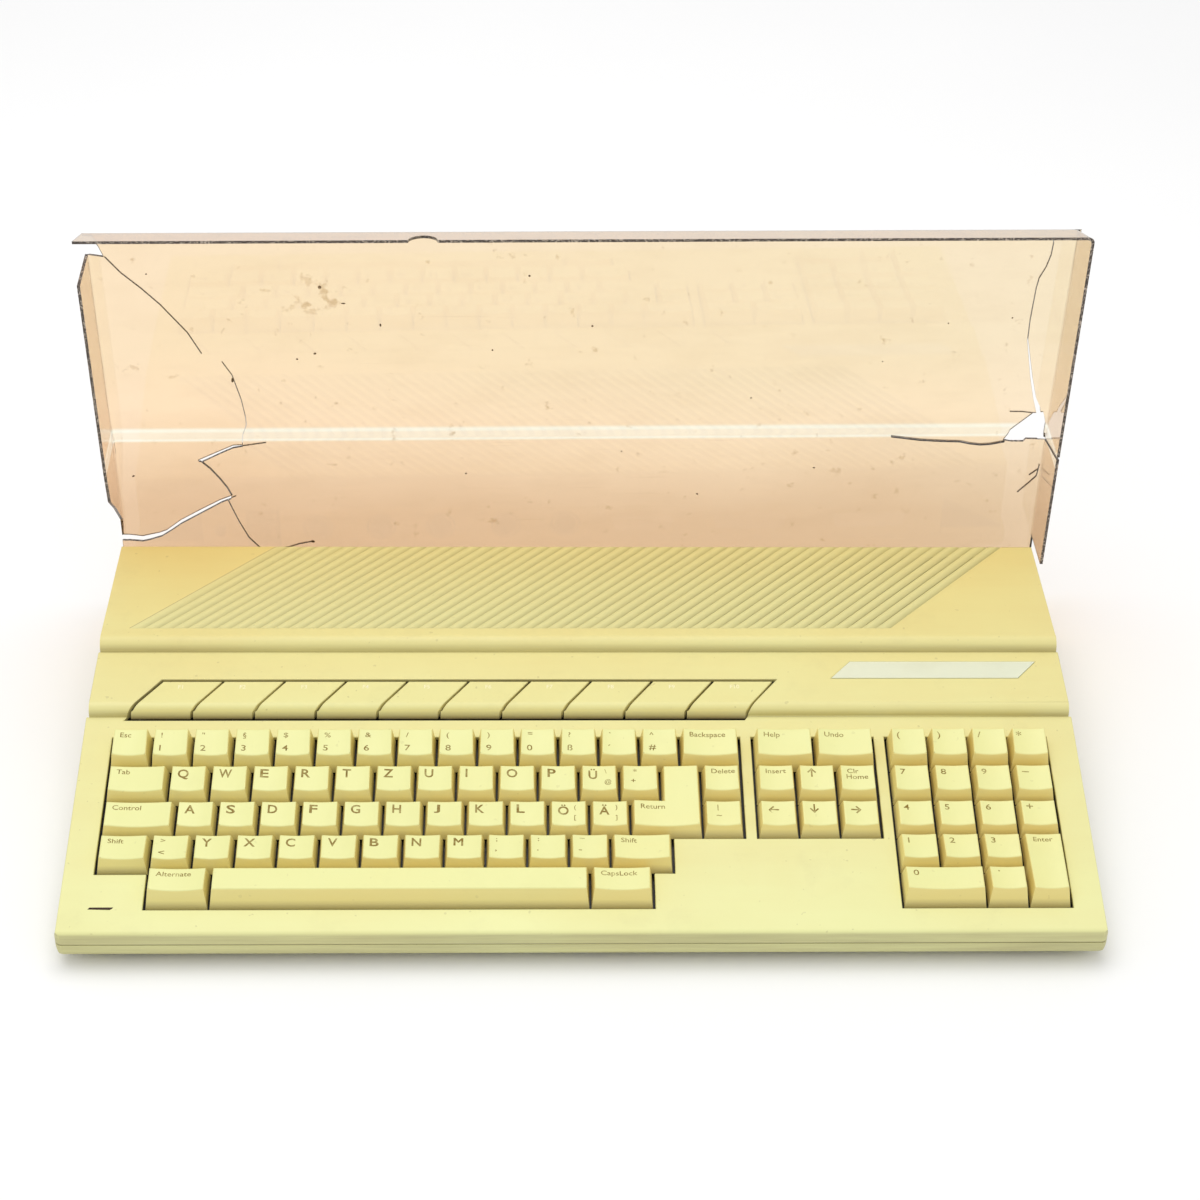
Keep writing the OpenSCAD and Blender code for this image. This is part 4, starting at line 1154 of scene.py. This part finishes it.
def roundBend(bm, settings, start, end, inward, moved):
    # the sheet is cut into strips along both sides of the bend, then wrapped round an arc
    radius, sheet, close = settings["bend"], settings["sheet"], settings["close"]
    line = (end - start).normalized()
    turn = inward[0].angle(inward[1])
    reach = math.tan(turn / 2)
    arms = armsOf(inward)
    for arm in arms:
        for cut in range(1, settings["bendSteps"] + 1):
            away = radius * reach * cut / settings["bendSteps"]
            bmesh.ops.bisect_plane(bm, geom=bm.verts[:] + bm.edges[:] + bm.faces[:], dist=close,
                                   plane_co=start + arm * away, plane_no=arm)
    middle = arms[0] * radius * reach + inward[0] * radius
    outwards = -(inward[0] + inward[1]).normalized()
    for vert in bm.verts:
        place = vert.co - start
        way = place.dot(line)
        if vert in moved or not -close <= way <= (end - start).length + close:
            continue
        for arm, side in zip(arms, inward):
            across, depth = place.dot(arm), place.dot(side)
            if -close <= depth <= sheet + close \
                    and depth * reach - close <= across < radius * reach - close:
                share = max(0, across / reach - depth) / (radius - depth)
                vert.co = start + line * way + middle \
                    + outwards.slerp(-side, share) * (radius - depth)
                moved.add(vert)
                break


def makeDustCover(settings):
    bm = mergedCopy("dust_cover")
    tree = BVHTree.FromBMesh(bm)
    widest, deepest = (settings["sheet"] * settings[key] for key in ("rimWidth", "rimDepth"))
    # narrow rims and crack walls take the dark finish, partly as painted shade
    for face in bm.faces:
        within = face.calc_center_median() - face.normal * settings["sheet"] / 100
        narrow = 2 * face.calc_area() / face.calc_perimeter() < widest
        if narrow and tree.ray_cast(within, -face.normal, deepest)[0] is None:
            face.material_index = 1
    moved = set()
    for start, end, inward in bendsOf(bm, tree, settings):
        roundBend(bm, settings, start, end, inward, moved)
    bmesh.ops.dissolve_degenerate(bm, edges=bm.edges, dist=settings["close"])
    piece = meshObject("smokedCover", bm)
    shadeSoftly(piece, settings["softUpTo"])
    standFor(piece, "dust_cover", "dust_cover", smokedSheet(sheetLook))
    piece.data.materials.append(chippedFinish("shadedSawnRim", chipping["rim"]))
    return piece


coverDirt = {
    # specks, in mm: across, height, half their length and height
    "specks": [(-100.4, 173.6, 0.5, 0.9), (-45.5, 158.3, 0.5, 0.5), (4, 172.4, 0.6, 0.6),
               (-129, 196, 0.9, 0.9), (-118, 186.5, 1.2, 0.4), (-142.5, 153.5, 0.6, 0.5),
               (-133.5, 156.8, 0.8, 0.6), (-27, 202, 0.6, 0.6), (-190, 158, 1.0, 0.9),
               (-175.4, 141, 0.7, 1.5), (180.8, 173, 0.4, 0.4), (212.4, 176, 0.5, 0.4),
               (-212, 204, 0.5, 0.4), (-230.6, 81.8, 0.8, 0.5), (-141, 39.5, 1.1, 0.8),
               (150, 150, 0.4, 0.3), (85, 128, 0.5, 0.4), (60, 68, 0.6, 0.5),
               (-60, 82, 0.5, 0.5), (120, 84, 0.7, 0.4), (20, 95, 0.4, 0.4)],
    "thick": 0.06,
    "turn": 0.6,
    "seed": 11,
    "inFront": 5 * mm,   # the specks are thrown at the sheet from this far behind the case
}


def makeCoverDirt(settings, cover):
    tree = BVHTree.FromPolygons([vert.co for vert in cover.data.vertices],
                                [face.vertices for face in cover.data.polygons])
    draw = random.Random(settings["seed"])
    bm = bmesh.new()
    for x, z, long, high in settings["specks"]:
        start = Vector((x * mm, caseBack + settings["inFront"], z * mm))
        hit = tree.ray_cast(start, Vector((0, 1, 0)))[0]
        if hit is None:
            continue
        turn = Matrix.Rotation(draw.uniform(-settings["turn"], settings["turn"]), 4, "Y")
        shape = Matrix.Diagonal((long * mm, settings["thick"] * mm, high * mm, 1))
        bmesh.ops.create_icosphere(bm, subdivisions=2, radius=1,
                                   matrix=Matrix.Translation(hit) @ turn @ shape)
    piece = meshObject("coverDirt", bm)
    piece.data.materials.append(chippedFinish("driedDirt", chipping["dirt"]))
    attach(piece, "dust_cover")


makeCoverDirt(coverDirt, makeDustCover(dustCover))
print("dust cover made")


# The other solids keep their shape and take a finish

nodeFinishes = {
    "rubber_feet": footRubber, "case_screws": tinnedSteel,
    "power_lamp": lampPlastic(powerLamp), "keyboard_frame": blackPlastic,
    "rubber_domes": domeRubber, "keyboard_board": boardGreen, "keyboard_backplate": tinnedSteel,
    "main_board": boardGreen, "board_chips": blackPlastic, "shield_cover": tinnedSteel,
    "keyboard_cable": greyCable, "din_sockets": blackPlastic, "wide_sockets": tinnedSteel,
    "joystick_sockets": tinnedSteel, "cartridge_socket": blackPlastic,
    "power_switch_body": blackPlastic, "power_rocker": blackPlastic,
    "reset_button": blackPlastic,
}
for nodeName, finish in nodeFinishes.items():
    nodes[nodeName].data.materials.clear()
    nodes[nodeName].data.materials.append(finish)
print("solids finished:", len(nodeFinishes))

makeCamera(camera)
makeStudio(studio)
print("camera and studio set")
